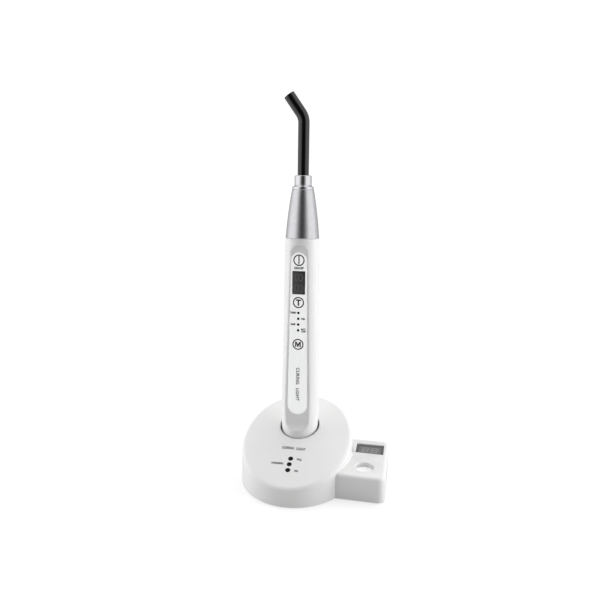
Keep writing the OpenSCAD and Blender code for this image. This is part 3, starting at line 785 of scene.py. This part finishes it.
def push_button(key, node):
    """Round cap with a soft edge and a shallow dish, and its stem."""
    low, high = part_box(node)
    z = centre_of(node).z
    turn = Matrix.Rotation(math.pi / 2, 4, "X")
    place = Matrix.Translation((PEN.x, LABEL_HIGH.y, z)) @ turn
    stem = 1.5 * MM
    profile = fillet([
        (0, LABEL_HIGH.y - high.y, 0), (stem, LABEL_HIGH.y - high.y, 0.1 * MM),
        (stem, 0, 0), (KEY_R, 0, 0.05 * MM),
        (KEY_R, LABEL_T, 0.16 * MM), (KEY_R - 0.9 * MM, LABEL_T, 0.3 * MM),
        (0, LABEL_T - 0.04 * MM, 0),
    ], 4)
    obj = turned(key + "_cap", profile, place, 96)
    # The caps share the label film's painted glow.
    finish_piece(obj, MATERIALS["label_film"], key + "_key", [node])
    face = LABEL_LOW.y + 0.01 * MM
    ring = plate(key + "_ring", circle(0, 0, KEY_R - 0.06 * MM, 96), [circle(0, 0, KEY_R - 1.0 * MM, 96)],
                 2 * PRINT_T, 0.01 * MM, front_place(face, z))
    finish_piece(ring, MATERIALS["print_black"], key + "_key")


def bar(name, x0, z0, x1, z1, place, body, corner=0.1 * MM):
    obj = plate(name, rectangle(x0, z0, x1, z1, corner), [], 2 * PRINT_T, 0.01 * MM, place)
    finish_piece(obj, MATERIALS["print_black"], body)


def power_symbol():
    z = centre_of("power_button").z
    place = front_place(LABEL_LOW.y + 0.01 * MM, z)
    bar("power_bar", -0.45 * MM, -3.2 * MM, 0.45 * MM, 3.4 * MM, place, "power_key")


def refine(mesh, longest):
    """Splits long edges, so that print can follow a curved surface."""
    bm = bmesh.new()
    bm.from_mesh(mesh)
    for _ in range(3):
        bmesh.ops.triangulate(bm, faces=bm.faces)
        edges = [e for e in bm.edges if e.calc_length() > longest]
        if edges:
            bmesh.ops.subdivide_edges(bm, edges=edges, cuts=1)
    bmesh.ops.triangulate(bm, faces=bm.faces)
    bm.to_mesh(mesh)
    bm.free()


def lettering(name, words, tall, place, body, bold=0.0, spacing=1.0, surface=None, narrow=0.75):
    """Thin raised print; tall is the height of its capitals."""
    curve = bpy.data.curves.new(name, "FONT")
    curve.body = words
    curve.align_x = "CENTER"
    curve.align_y = "CENTER"
    curve.size = tall / 0.69
    curve.space_character = spacing
    curve.extrude = PRINT_T
    curve.offset = bold
    curve.resolution_u = 4
    source = bpy.data.objects.new(name + "_type", curve)
    bpy.context.scene.collection.objects.link(source)
    bpy.context.view_layer.update()
    graph = bpy.context.evaluated_depsgraph_get()
    mesh = bpy.data.meshes.new_from_object(source.evaluated_get(graph))
    bpy.data.objects.remove(source)
    obj = bpy.data.objects.new(name, mesh)
    bpy.context.scene.collection.objects.link(obj)
    mesh.transform(place @ Matrix.Diagonal((narrow, 1, 1, 1)))
    if surface:
        refine(mesh, 0.5 * MM)
        for vertex in mesh.vertices:
            vertex.co.z += surface(vertex.co.x, vertex.co.y)
    finish_piece(obj, MATERIALS["print_black"], body)
    return obj


def letter_t(half_wide, half_tall, half_stem, arm):
    right = [(half_wide, half_tall), (half_wide, half_tall - arm), (half_stem, half_tall - arm), (half_stem, -half_tall)]
    return right + [(-x, y) for x, y in reversed(right)]


def letter_m(half_wide, half_tall, stroke):
    right = [(0, half_tall * 0.05), (half_wide - stroke * 1.15, half_tall), (half_wide, half_tall),
             (half_wide, -half_tall), (half_wide - stroke, -half_tall),
             (half_wide - stroke, half_tall * 0.35), (stroke * 0.42, -half_tall)]
    return right + [(-x, y) for x, y in reversed(right[1:])]


def key_letter(name, outline, z, body):
    points = [(x * MM, y * MM) for x, y in outline]
    place = front_place(LABEL_LOW.y + 0.01 * MM, z)
    obj = plate(name, points, [], 2 * PRINT_T, 0.01 * MM, place)
    finish_piece(obj, MATERIALS["print_black"], body)


def keypad_lettering():
    face = LABEL_LOW.y + 0.01 * MM
    time_z, mode_z = centre_of("time_button").z, centre_of("mode_button").z
    key_letter("time_letter", letter_t(2.05, 2.45, 0.6, 1.05), time_z, "time_key")
    key_letter("mode_letter", letter_m(2.3, 2.15, 1.02), mode_z, "mode_key")
    lettering("power_caption", "ON/OFF", 1.75 * MM, front_place(face, 172.3 * MM), "handpiece", 0.15 * MM, 1.1)
    leds = led_heights()
    tall = 1.35 * MM
    captions = [("turbo", "TURBO", leds[3], -4.1), ("full", "FULL", leds[2], 4.0),
                ("ramp", "RAMP", leds[1], -4.1), ("battery", "BATT", leds[0] + 0.85 * MM, 4.2),
                ("low", "LOW", leds[0] - 0.85 * MM, 4.2)]
    for name, words, z, x in captions:
        lettering("mode_caption_" + name, words, tall, front_place(face, z, x * MM), "handpiece", 0.13 * MM)
    turn = Matrix.Rotation(-math.pi / 2, 4, "Z")
    for part, text, z in (("first", "CURING", 86.2), ("second", "LIGHT", 71.0)):
        place = front_place(face, z * MM) @ turn
        lettering("kind_caption_" + part, text, 2.6 * MM, place, "handpiece", 0.10 * MM, 1.05, narrow=0.95)


def mode_lights():
    """Four small domed lights in the label."""
    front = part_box("mode_leds")[0].y
    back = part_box("mode_leds")[1].y
    rings_all, faces_all = [], []
    for z in led_heights():
        place = Matrix.Translation((PEN.x, back, z)) @ Matrix.Rotation(math.pi / 2, 4, "X")
        deep = back - front
        profile = [(0, 0), (1 * MM, 0), (1 * MM, deep - 0.15 * MM)]
        profile += [(1 * MM * math.cos(a), deep - 0.15 * MM + 0.15 * MM * math.sin(a))
                    for a in (0.3, 0.6, 0.9, 1.2)]
        profile.append((0, deep))
        light = turned("light", profile, place, 32)
        start = len(rings_all)
        rings_all += [v.co.copy() for v in light.data.vertices]
        faces_all += [tuple(i + start for i in p.vertices) for p in light.data.polygons]
        bpy.data.objects.remove(light)
    obj = make_object("mode_lights", rings_all, faces_all)
    finish_piece(obj, MATERIALS["indicator_black"], "handpiece", ["mode_leds"])


def segment_polygons(tall, wide, thick):
    """The seven segments of a digit eight, centred, as closed outlines."""
    t, g = thick / 2, thick * 0.12

    def lay(cx, cy, length, upright):
        h = length / 2 - g
        pts = [(-h, 0), (-h + t, t), (h - t, t), (h, 0), (h - t, -t), (-h + t, -t)]
        return [(cx + (b if upright else a), cy + (a if upright else b)) for a, b in pts]

    x, y = wide / 2 - t, tall / 2 - t
    out = [lay(0, s * y, wide - thick, False) for s in (-1, 0, 1)]
    out += [lay(sx * x, sy * y / 2, y, True) for sx in (-1, 1) for sy in (-1, 1)]
    return out


def digits(name, count, tall, wide, gap, thick, slant, place, material, body):
    """A row of unlit figure-eight digits as thin inlays."""
    verts, faces = [], []
    for i in range(count):
        shift = (i - (count - 1) / 2) * (wide + gap)
        for outline in segment_polygons(tall, wide, thick):
            start = len(verts)
            n = len(outline)
            for level in (-PRINT_T, PRINT_T):
                verts += [place @ Vector((a + shift + b * slant, b, level)) for a, b in outline]
            faces.append(tuple(start + k for k in range(n)))
            faces.append(tuple(start + n + k for k in range(n)))
            faces += [(start + k, start + (k + 1) % n, start + n + (k + 1) % n, start + n + k)
                      for k in range(n)]
    obj = outward(make_object(name, verts, faces))
    finish_piece(obj, material, body)


def timer_display():
    low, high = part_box("display_window")
    mid = (low + high) / 2
    w, h = high.x - low.x, high.z - low.z
    thick = high.y - low.y
    place = front_place(mid.y, mid.z)
    outline = rectangle(-w / 2, -h / 2, w / 2, h / 2, 0.35 * MM)
    pane = plate("timer_pane", outline, [], thick, 0.08 * MM, place)
    finish_piece(pane, MATERIALS["smoked_window"], "handpiece", ["display_window"])
    face = front_place(low.y + 0.012 * MM, mid.z)
    inner = plate("timer_mask", rectangle(-w / 2 + 1.1 * MM, -h / 2 + 0.8 * MM, w / 2 - 0.7 * MM, h / 2 - 1.1 * MM, 0.2 * MM),
                  [], 2 * PRINT_T, 0.005 * MM, face)
    mask = moulded("timer_mask", grey(0.052), grey(0.060), 0.22, depth=3e-7, coat=0.3)
    finish_piece(inner, mask, "handpiece")
    dim = moulded("timer_segments", grey(0.095), grey(0.115), 0.3)
    turn = front_place(low.y - 0.012 * MM, mid.z) @ Matrix.Rotation(-math.pi / 2, 4, "Z")
    digits("timer_digits", 2, 6.7 * MM, 5.5 * MM, 2.8 * MM, 0.95 * MM, 0.08, turn, dim, "handpiece")


# -------------------------------------------------------------- charging base


def top_height(x, y):
    """Height of the base's top: a shallow cone with its axis tilted forward."""
    ahead = y - PEN.y
    rise = 0.0
    for _ in range(10):
        along = -ahead * math.sin(TOP_TILT) + rise * math.cos(TOP_TILT)
        out = math.sqrt(max(x * x + ahead * ahead + rise * rise - along * along, 0))
        rise = (ahead * math.sin(TOP_TILT) - out * math.tan(TOP_FALL)) / math.cos(TOP_TILT)
    return TOP_PEAK + rise


def oval_point(angle, inset):
    """Where a ray from the handpiece's axis meets the oval, and its normal."""
    a, b = BASE_A - inset, BASE_B - inset
    dx, dy = math.sin(angle), -math.cos(angle)
    qa = (dx / a) ** 2 + (dy / b) ** 2
    qb = 2 * PEN.y * dy / b ** 2
    qc = (PEN.y / b) ** 2 - 1
    t = (-qb + math.sqrt(qb * qb - 4 * qa * qc)) / (2 * qa)
    point = Vector((dx * t, PEN.y + dy * t))
    return point, Vector((point.x / a ** 2, point.y / b ** 2)).normalized()


def shoulder(rim, normal, radius, steps=12):
    """Arc that rounds the wall into the top, from the top's side to the wall's."""
    z = top_height(rim.x, rim.y)
    small = 0.5 * MM
    back = rim - normal * small
    slope = (z - top_height(back.x, back.y)) / small
    lean = math.sqrt(1 + slope * slope)
    hub = z - slope * radius - radius * lean
    start = math.pi / 2 + math.atan(slope)
    return [(-radius + radius * math.cos(start * (1 - k / steps)),
             hub + radius * math.sin(start * (1 - k / steps))) for k in range(steps + 1)]


def cover_column(angle):
    """One radial section of the base's cover, as a closed loop of points."""
    way = Vector((math.sin(angle), -math.cos(angle)))
    axis = Vector((PEN.x, PEN.y))
    rim, normal = oval_point(angle, 0)
    inner_rim, _ = oval_point(angle, BASE_WALL)
    arc_points = shoulder(rim, normal, SHOULDER_R)
    meet = rim + normal * arc_points[0][0]
    lip = 0.7 * MM
    first = axis + way * (HOLE_R + lip)
    edge = top_height(*first)
    column = []
    for k in range(6):
        a = math.pi / 2 * k / 5
        spot = axis + way * (HOLE_R + lip * (1 - math.cos(a)))
        column.append((spot, edge - lip * (1 - math.sin(a))))
    gap = arc_points[0][1] - top_height(*meet)
    for k in range(1, 17):
        t = k / 16
        spot = first.lerp(meet, t)
        column.append((spot, top_height(*spot) + gap * t ** 6))
    column += [(rim + normal * dx, z) for dx, z in arc_points[1:]]
    wall_top = arc_points[-1][1]
    column += [(rim, BASE_LOW + (wall_top - BASE_LOW) * t) for t in (0.75, 0.5, 0.25)]
    soft = 0.35 * MM
    column += [(rim - normal * soft * (1 - math.cos(a)), BASE_LOW + soft * (1 - math.sin(a)))
               for a in (0.0, 0.4, 0.8, 1.2, math.pi / 2)]
    drop = BASE_WALL + 0.3 * MM
    column.append((inner_rim, BASE_LOW))
    column.append((inner_rim, top_height(*inner_rim) - drop))
    under = axis + way * HOLE_R
    for t in (0.66, 0.33, 0.0):
        spot = under.lerp(inner_rim, t)
        column.append((spot, top_height(*spot) - drop))
    return [Vector((spot.x, spot.y, z)) for spot, z in column]


def base_cover():
    sides = 240
    columns = [cover_column(2 * math.pi * k / sides) for k in range(sides)]
    rings = [[column[i] for column in columns] for i in range(len(columns[0]))]
    obj = outward(make_object("base_shell", *skin(rings, closed=True)))
    cutters = []
    for spot, tilt in indicator_places():
        place = Matrix.Translation(spot) @ Matrix.Rotation(tilt, 4, "X")
        cutters.append(turned("hole", [(0, -6 * MM), (LENS_R + 0.06 * MM, -6 * MM), (LENS_R + 0.06 * MM, 3 * MM), (0, 3 * MM)], place, 48))
    jack = centre_of("power_jack")
    cutters.append(rod("jack_hole", (jack.x, BASE_B - 8 * MM, jack.z), (jack.x, BASE_B + 2 * MM, jack.z), 4.5 * MM))
    cut(obj, cutters)
    finish_piece(obj, MATERIALS["white_shell"], "base", ["base_cover"], 40)


def indicator_places():
    """Centre and tilt of each indicator lens on the top's middle line."""
    out = []
    low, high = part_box("indicator_lenses")
    tilt = TOP_TILT + TOP_FALL
    reach = LENS_R * math.cos(tilt)
    front, back = low.y + reach, high.y - reach - 4 * MM * math.sin(tilt)
    for share in (0.0, 0.5052, 1.0):
        y = front + (back - front) * share
        out.append((Vector((0, y, top_height(0, y))), tilt))
    return out


def indicator_lenses():
    """Three black domed lenses, square to the top."""
    verts, faces = [], []
    r, rise = LENS_R, 0.22 * MM
    for spot, tilt in indicator_places():
        place = Matrix.Translation(spot) @ Matrix.Rotation(tilt, 4, "X")
        profile = [(0, -4 * MM), (r, -4 * MM), (r, 0.02 * MM)]
        profile += [(r * math.cos(a), 0.02 * MM + rise * math.sin(a)) for a in (0.25, 0.5, 0.75, 1.0, 1.25)]
        profile.append((0, 0.02 * MM + rise))
        lens = turned("lens", profile, place, 40)
        start = len(verts)
        verts += [v.co.copy() for v in lens.data.vertices]
        faces += [tuple(i + start for i in p.vertices) for p in lens.data.polygons]
        bpy.data.objects.remove(lens)
    obj = make_object("indicator_domes", verts, faces)
    finish_piece(obj, MATERIALS["indicator_black"], "base", ["indicator_lenses"])


def base_lettering():
    places = indicator_places()
    words = [("on", "ON", places[0][0], 6.4), ("charging", "CHARGING", places[1][0], -9.4),
             ("full", "FULL", places[2][0], 6.9)]
    for name, text, spot, x in words:
        place = Matrix.Translation((x * MM, spot.y, 0))
        lettering("base_caption_" + name, text, 1.5 * MM, place, "base", 0.12 * MM, 1.05, top_height, 0.82)
    for part, text, x in (("first", "CURING", -4.2), ("second", "LIGHT", 6.1)):
        place = Matrix.Translation((x * MM, -17.4 * MM, 0))
        lettering("base_kind_caption_" + part, text, 2.1 * MM, place, "base", 0.10 * MM, 1.05, top_height, narrow=0.8)


def socket_cup():
    """Cup with a conical seat; its rim follows the underside of the top."""
    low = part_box("socket_cup")[0].z
    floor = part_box("pin_barrels")[1].z
    sides = 128
    rings = []
    drop = BASE_WALL + 0.5 * MM
    under = floor - 2 * MM

    def ring(radius, height):
        out = []
        for k in range(sides):
            a = 2 * math.pi * k / sides
            x, y = radius * math.sin(a), PEN.y - radius * math.cos(a)
            z = height if height is not None else top_height(x, y) - drop
            out.append(Vector((x, y, z)))
        return out

    rings.append([Vector((PEN.x, PEN.y, floor))])
    for radius in (4, 9, 13.6, 14.1, 14.2):
        lift = 0.0 if radius < 14.1 else (0.1 if radius < 14.2 else 0.5)
        rings.append(ring(radius * MM, floor + lift * MM))
    for t in (0.25, 0.5, 0.75, 1.0):
        rings.append(ring(14.2 * MM + (HOLE_R - 14.2 * MM) * t, floor + 0.5 * MM + 17.5 * MM * t))
    rings += [ring(HOLE_R, None), ring(CUP_R, None), ring(CUP_R, low)]
    rings += [ring(HOLE_R, low), ring(HOLE_R, under), [Vector((PEN.x, PEN.y, under))]]
    obj = outward(make_object("socket_cup_shell", *skin(rings)))
    low_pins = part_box("pin_barrels")
    pins = [Vector((PEN.x, PEN.y, 0)), Vector((PEN.x, low_pins[0].y + 1.45 * MM, 0))]
    holes = [rod("pin_hole", (p.x, p.y, 0), (p.x, p.y, 30 * MM), 1.5 * MM, 32) for p in pins]
    cut(obj, holes)
    finish_piece(obj, MATERIALS["white_shell"], "base", ["socket_cup"], 40)


def pin_springs():
    """Coil springs under the contact pins."""
    low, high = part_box("pin_springs")
    wire, turns, around, sides = 0.17 * MM, 6, 24, 10
    coil_r = half_width("pin_springs") - wire
    foot, rise = low.z + wire, high.z - low.z - 2 * wire
    verts, faces = [], []
    for y in (PEN.y, low.y + coil_r + wire):
        rings = []
        for i in range(turns * around + 1):
            a = 2 * math.pi * i / around
            out = Vector((math.cos(a), math.sin(a), 0))
            centre = Vector((PEN.x, y, foot + rise * i / (turns * around))) + out * coil_r
            rings.append([centre + (out * math.cos(b) + Vector((0, 0, 1)) * math.sin(b)) * wire
                          for b in (2 * math.pi * k / sides for k in range(sides))])
        coil_verts, coil_faces = skin(rings)
        start = len(verts)
        verts += coil_verts
        faces += [tuple(i + start for i in face) for face in coil_faces]
        faces += [tuple(range(start, start + sides)), tuple(range(len(verts) - sides, len(verts)))]
    obj = outward(make_object("pin_coils", verts, faces))
    finish_piece(obj, MATERIALS["spring_steel"], "base", ["pin_springs"])
    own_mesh(obj)


# ---------------------------------------------------------------- light meter


def wall_x(y, gap):
    """The base wall's X at front-to-back place y, moved out by gap."""
    a, b = BASE_A + gap, BASE_B + gap
    return a * math.sqrt(max(0.0, 1 - (y / b) ** 2))


def meter_ring(inset, z, gap):
    """One level of the box: three straight sides and the base's curved wall."""
    front, back = METER_LOW.y + inset, METER_HIGH.y - inset
    right = METER_HIGH.x - inset
    corner = METER_CORNER - inset
    points = [(wall_x(front, gap) + (right - corner - wall_x(front, gap)) * k / 6, front) for k in range(6)]
    points += arc(right - corner, front + corner, corner, -90, 0, 12)
    points += [(right, front + corner + (back - front - 2 * corner) * k / 10) for k in range(1, 10)]
    points += arc(right - corner, back - corner, corner, 0, 90, 12)
    points += [(right - corner + (wall_x(back, gap) - right + corner) * k / 6, back) for k in range(1, 6)]
    points += [(wall_x(back + (front - back) * k / 24, gap), back + (front - back) * k / 24) for k in range(24)]
    return [Vector((x, y, z)) for x, y in points]


def meter_shell():
    gap = 0.05 * MM
    top, low = METER_HIGH.z, METER_LOW.z
    soft = 0.3 * MM
    rings = [meter_ring(soft, low, gap), meter_ring(soft * 0.3, low + soft * 0.3, gap),
             meter_ring(0, low + soft, gap), meter_ring(0, top - METER_EDGE - 4 * MM, gap)]
    for k in range(9):
        a = math.pi / 2 * k / 8
        rings.append(meter_ring(METER_EDGE * (1 - math.cos(a)), top - METER_EDGE * (1 - math.sin(a)), gap))
    inner_gap = METER_WALL
    inner = [meter_ring(METER_WALL, low, inner_gap), meter_ring(METER_WALL, top - METER_WALL - 2 * MM, inner_gap),
             meter_ring(METER_WALL + 2 * MM, top - METER_WALL, inner_gap)]
    verts, faces = skin(list(reversed(rings)) + inner)
    count = len(rings[0])
    faces.append(tuple(range(count)))
    last = len(verts) - count
    faces.append(tuple(range(last, last + count)))
    obj = outward(make_object("meter_box", verts, faces))
    low_w, high_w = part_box("meter_window")
    edge = 0.05 * MM
    cutters = [
        rod("well", (WELL.x, WELL.y, top - WELL_DEPTH), (WELL.x, WELL.y, top + 5 * MM), WELL_R, 96),
        brick("screen", (low_w.x - edge, low_w.y - edge, top - 6 * MM), (high_w.x + edge, high_w.y + edge, top + 4 * MM)),
    ]
    cutters.append(wall_slot(top))
    cut(obj, cutters)
    bevel(obj, 0.35 * MM, 3, 60)
    finish_piece(obj, MATERIALS["white_shell"], "base", ["meter_shell"], 40)
    well_cup(top)


def wall_slot(top):
    """Cutter for the slot in the box's top, along the base's wall."""
    front, back, wide, deep = 9 * MM, 25 * MM, 1.4 * MM, 1.2 * MM
    places = [front + (back - front) * k / 12 for k in range(13)]
    rings = []
    for z in (top - deep, top + 1 * MM):
        near = [Vector((wall_x(y, -1 * MM), y, z)) for y in places]
        far = [Vector((wall_x(y, wide), y, z)) for y in reversed(places)]
        rings.append(near + far)
    verts, faces = skin(rings)
    count = len(rings[0])
    faces += [tuple(range(count)), tuple(range(count, 2 * count))]
    return outward(make_object("slot", verts, faces))


def well_cup(top):
    """Collar under the sensor well that carries its wall and floor ring."""
    floor = top - WELL_DEPTH
    profile = fillet([
        (WELL_R - 0.4 * MM, floor - 2.6 * MM, 0), (WELL_R + 2 * MM, floor - 2.6 * MM, 0.3 * MM),
        (WELL_R + 2 * MM, top - METER_WALL - 0.02 * MM, 0), (WELL_R + 0.36 * MM, top - METER_WALL - 0.02 * MM, 0),
        (WELL_R, top - METER_WALL - 0.4 * MM, 0.2 * MM), (WELL_R, floor, 0.5 * MM),
        (WELL_R - 0.4 * MM, floor, 0.1 * MM),
    ], 5)
    place = Matrix.Translation((WELL.x, WELL.y, 0))
    obj = turned("well_collar", profile, place, 96)
    finish_piece(obj, MATERIALS["white_shell"], "base")


def sensor_diffuser():
    low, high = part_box("sensor_diffuser")
    r = half_width("sensor_diffuser")
    profile = [(0, low.z), (r, low.z), (r, high.z - 0.25 * MM)]
    profile += [(r * math.cos(a), high.z - 0.25 * MM + 0.25 * MM * math.sin(a)) for a in (0.15, 0.3, 0.5, 0.75, 1.0, 1.3)]
    profile.append((0, high.z))
    obj = turned("sensor_disc", profile, Matrix.Translation((WELL.x, WELL.y, 0)), 96)
    finish_piece(obj, MATERIALS["diffuser"], "base", ["sensor_diffuser"])


def meter_display():
    low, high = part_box("meter_window")
    mid = (low + high) / 2
    w, d = high.x - low.x, high.y - low.y
    place = Matrix.Translation(mid)
    outline = rectangle(-w / 2, -d / 2, w / 2, d / 2, 0.3 * MM)
    pane = plate("meter_pane", outline, [], high.z - low.z, 0.08 * MM, place)
    finish_piece(pane, MATERIALS["meter_glass"], "base", ["meter_window"])
    mask = moulded("meter_mask", grey(0.15), grey(0.17), 0.3)
    face = Matrix.Translation((mid.x, mid.y, high.z + 0.012 * MM))
    inner = plate("meter_mask", rectangle(-w / 2 + 2.4 * MM, -d / 2 + 2 * MM, w / 2 - 2.4 * MM, d / 2 - 4 * MM, 0.3 * MM),
                  [], 2 * PRINT_T, 0.005 * MM, face)
    finish_piece(inner, mask, "base")
    lit = moulded("meter_segments", grey(0.27), grey(0.30), 0.35)
    face = Matrix.Translation((mid.x, mid.y - 1.0 * MM, high.z + 0.04 * MM))
    digits("meter_digits", 2, 9.0 * MM, 5.6 * MM, 1.9 * MM, 1.25 * MM, 0.12, face, lit, "base")


# ---------------------------------------------------------------------- stage


def pale_floor():
    size, level = 0.8, -0.02 * MM
    corners = [(-size, -size, level), (size, -size, level), (size, size, level), (-size, size, level)]
    floor = make_object("floor", corners, [(0, 1, 2, 3)])
    material, nodes, links, shader = new_material("pale_floor")
    shader.inputs["Base Color"].default_value = (0.45, 0.45, 0.45, 1)
    shader.inputs["Roughness"].default_value = 0.22
    shader.inputs["Emission Color"].default_value = (1, 1, 1, 1)
    path = nodes.new("ShaderNodeLightPath")
    glow = nodes.new("ShaderNodeMapRange")
    glow.inputs["To Min"].default_value = 0.20
    glow.inputs["To Max"].default_value = 0.575
    links.new(path.outputs["Is Camera Ray"], glow.inputs["Value"])
    links.new(glow.outputs["Result"], shader.inputs["Emission Strength"])
    fade_out(nodes, links, shader, path)
    floor.data.materials.append(material)


def fade_out(nodes, links, shader, path):
    """Lets the floor go over into the white room, as the camera sees it."""
    place = nodes.new("ShaderNodeTexCoord")
    away = nodes.new("ShaderNodeVectorMath")
    away.operation = "LENGTH"
    share = nodes.new("ShaderNodeMapRange")
    share.inputs["From Min"].default_value = 0.16
    share.inputs["From Max"].default_value = 0.50
    seen = nodes.new("ShaderNodeMath")
    seen.operation = "MULTIPLY"
    white = nodes.new("ShaderNodeEmission")
    white.inputs["Strength"].default_value = 1.05
    mix = nodes.new("ShaderNodeMixShader")
    links.new(place.outputs["Object"], away.inputs[0])
    links.new(away.outputs["Value"], share.inputs["Value"])
    links.new(share.outputs["Result"], seen.inputs[0])
    links.new(path.outputs["Is Camera Ray"], seen.inputs[1])
    links.new(seen.outputs["Value"], mix.inputs["Fac"])
    links.new(shader.outputs["BSDF"], mix.inputs[1])
    links.new(white.outputs["Emission"], mix.inputs[2])
    links.new(mix.outputs["Shader"], nodes["Material Output"].inputs["Surface"])


def studio_room():
    """White room, bright at the sides and darker behind the camera."""
    world = bpy.data.worlds.new("soft_white_room")
    bpy.context.scene.world = world
    world.use_nodes = True
    nodes, links = world.node_tree.nodes, world.node_tree.links
    place = nodes.new("ShaderNodeTexCoord")
    level = nodes.new("ShaderNodeVectorMath")
    level.operation = "MULTIPLY"
    level.inputs[1].default_value = (1, 1, 0.15)
    level_way = nodes.new("ShaderNodeVectorMath")
    level_way.operation = "NORMALIZE"
    facing = nodes.new("ShaderNodeVectorMath")
    facing.operation = "DOT_PRODUCT"
    facing.inputs[1].default_value = (math.sin(DARK_AZIMUTH), -math.cos(DARK_AZIMUTH), 0)
    scale = nodes.new("ShaderNodeMapRange")
    scale.inputs["From Min"].default_value = -1
    ramp = nodes.new("ShaderNodeValToRGB")
    stops = ramp.color_ramp.elements
    stops[0].position, stops[0].color = 0.0, (*grey(0.42), 1)
    stops[1].position, stops[1].color = 1.0, (*grey(0.03), 1)
    for spot, value in ((0.22, 0.65), (0.45, 1.05), (0.82, 1.0), (0.93, 0.40), (0.98, 0.09)):
        stop = stops.new(spot)
        stop.color = (*grey(value), 1)
    path = nodes.new("ShaderNodeLightPath")
    mix = nodes.new("ShaderNodeMix")
    mix.data_type = "RGBA"
    mix.inputs["B"].default_value = (1.05, 1.05, 1.05, 1)
    links.new(place.outputs["Generated"], level.inputs[0])
    links.new(level.outputs["Vector"], level_way.inputs[0])
    links.new(level_way.outputs["Vector"], facing.inputs[0])
    links.new(facing.outputs["Value"], scale.inputs["Value"])
    links.new(scale.outputs["Result"], ramp.inputs["Fac"])
    links.new(ramp.outputs["Color"], mix.inputs["A"])
    links.new(path.outputs["Is Camera Ray"], mix.inputs["Factor"])
    links.new(mix.outputs["Result"], nodes["Background"].inputs["Color"])
    softbox("left_softbox", (-0.9, 0.02, 0.25), 0.7, 0.4, 4.6)
    softbox("right_softbox", (0.95, 0.12, 0.25), 0.7, 0.4, 5.4)
    softbox("top_softbox", (0.1, 0.45, 0.9), 1.0, 0.8, 3.2)


def softbox(name, spot, wide, tall, power):
    light = bpy.data.lights.new(name, "AREA")
    light.shape = "RECTANGLE"
    light.size = wide
    light.size_y = tall
    light.energy = power
    obj = bpy.data.objects.new(name, light)
    bpy.context.scene.collection.objects.link(obj)
    obj.location = spot
    obj.visible_glossy = False
    aim = Vector((0, 0, 0.12)) - Vector(spot)
    obj.rotation_euler = aim.to_track_quat("-Z", "Y").to_euler()


def camera():
    data = bpy.data.cameras.new("camera")
    data.lens = CAMERA_LENS
    data.sensor_width = 36
    data.clip_start = 0.01
    obj = bpy.data.objects.new("camera", data)
    bpy.context.scene.collection.objects.link(obj)
    spot = Vector((CAMERA_AWAY * math.sin(CAMERA_AZIMUTH), -CAMERA_AWAY * math.cos(CAMERA_AZIMUTH), CAMERA_UP))
    turn = (Matrix.Rotation(CAMERA_TURN, 4, "Z")
            @ Matrix.Rotation(math.pi / 2 - CAMERA_PITCH, 4, "X")
            @ Matrix.Rotation(CAMERA_ROLL, 4, "Z"))
    obj.matrix_world = Matrix.Translation(spot) @ turn
    bpy.context.scene.camera = obj


def colour_management():
    view = bpy.context.scene.view_settings
    view.view_transform = "Standard"
    view.look = "None"


def build():
    dress_cad_nodes()
    light_guide()
    light_guide_core()
    collar()
    head_cone()
    nose_ring()
    body_shell()
    tail_cap()
    keypad_label()
    for key, node in KEYS.items():
        push_button(key, node)
    power_symbol()
    keypad_lettering()
    mode_lights()
    timer_display()
    base_cover()
    indicator_lenses()
    base_lettering()
    socket_cup()
    pin_springs()
    meter_shell()
    sensor_diffuser()
    meter_display()
    pale_floor()
    studio_room()
    camera()
    colour_management()


build()
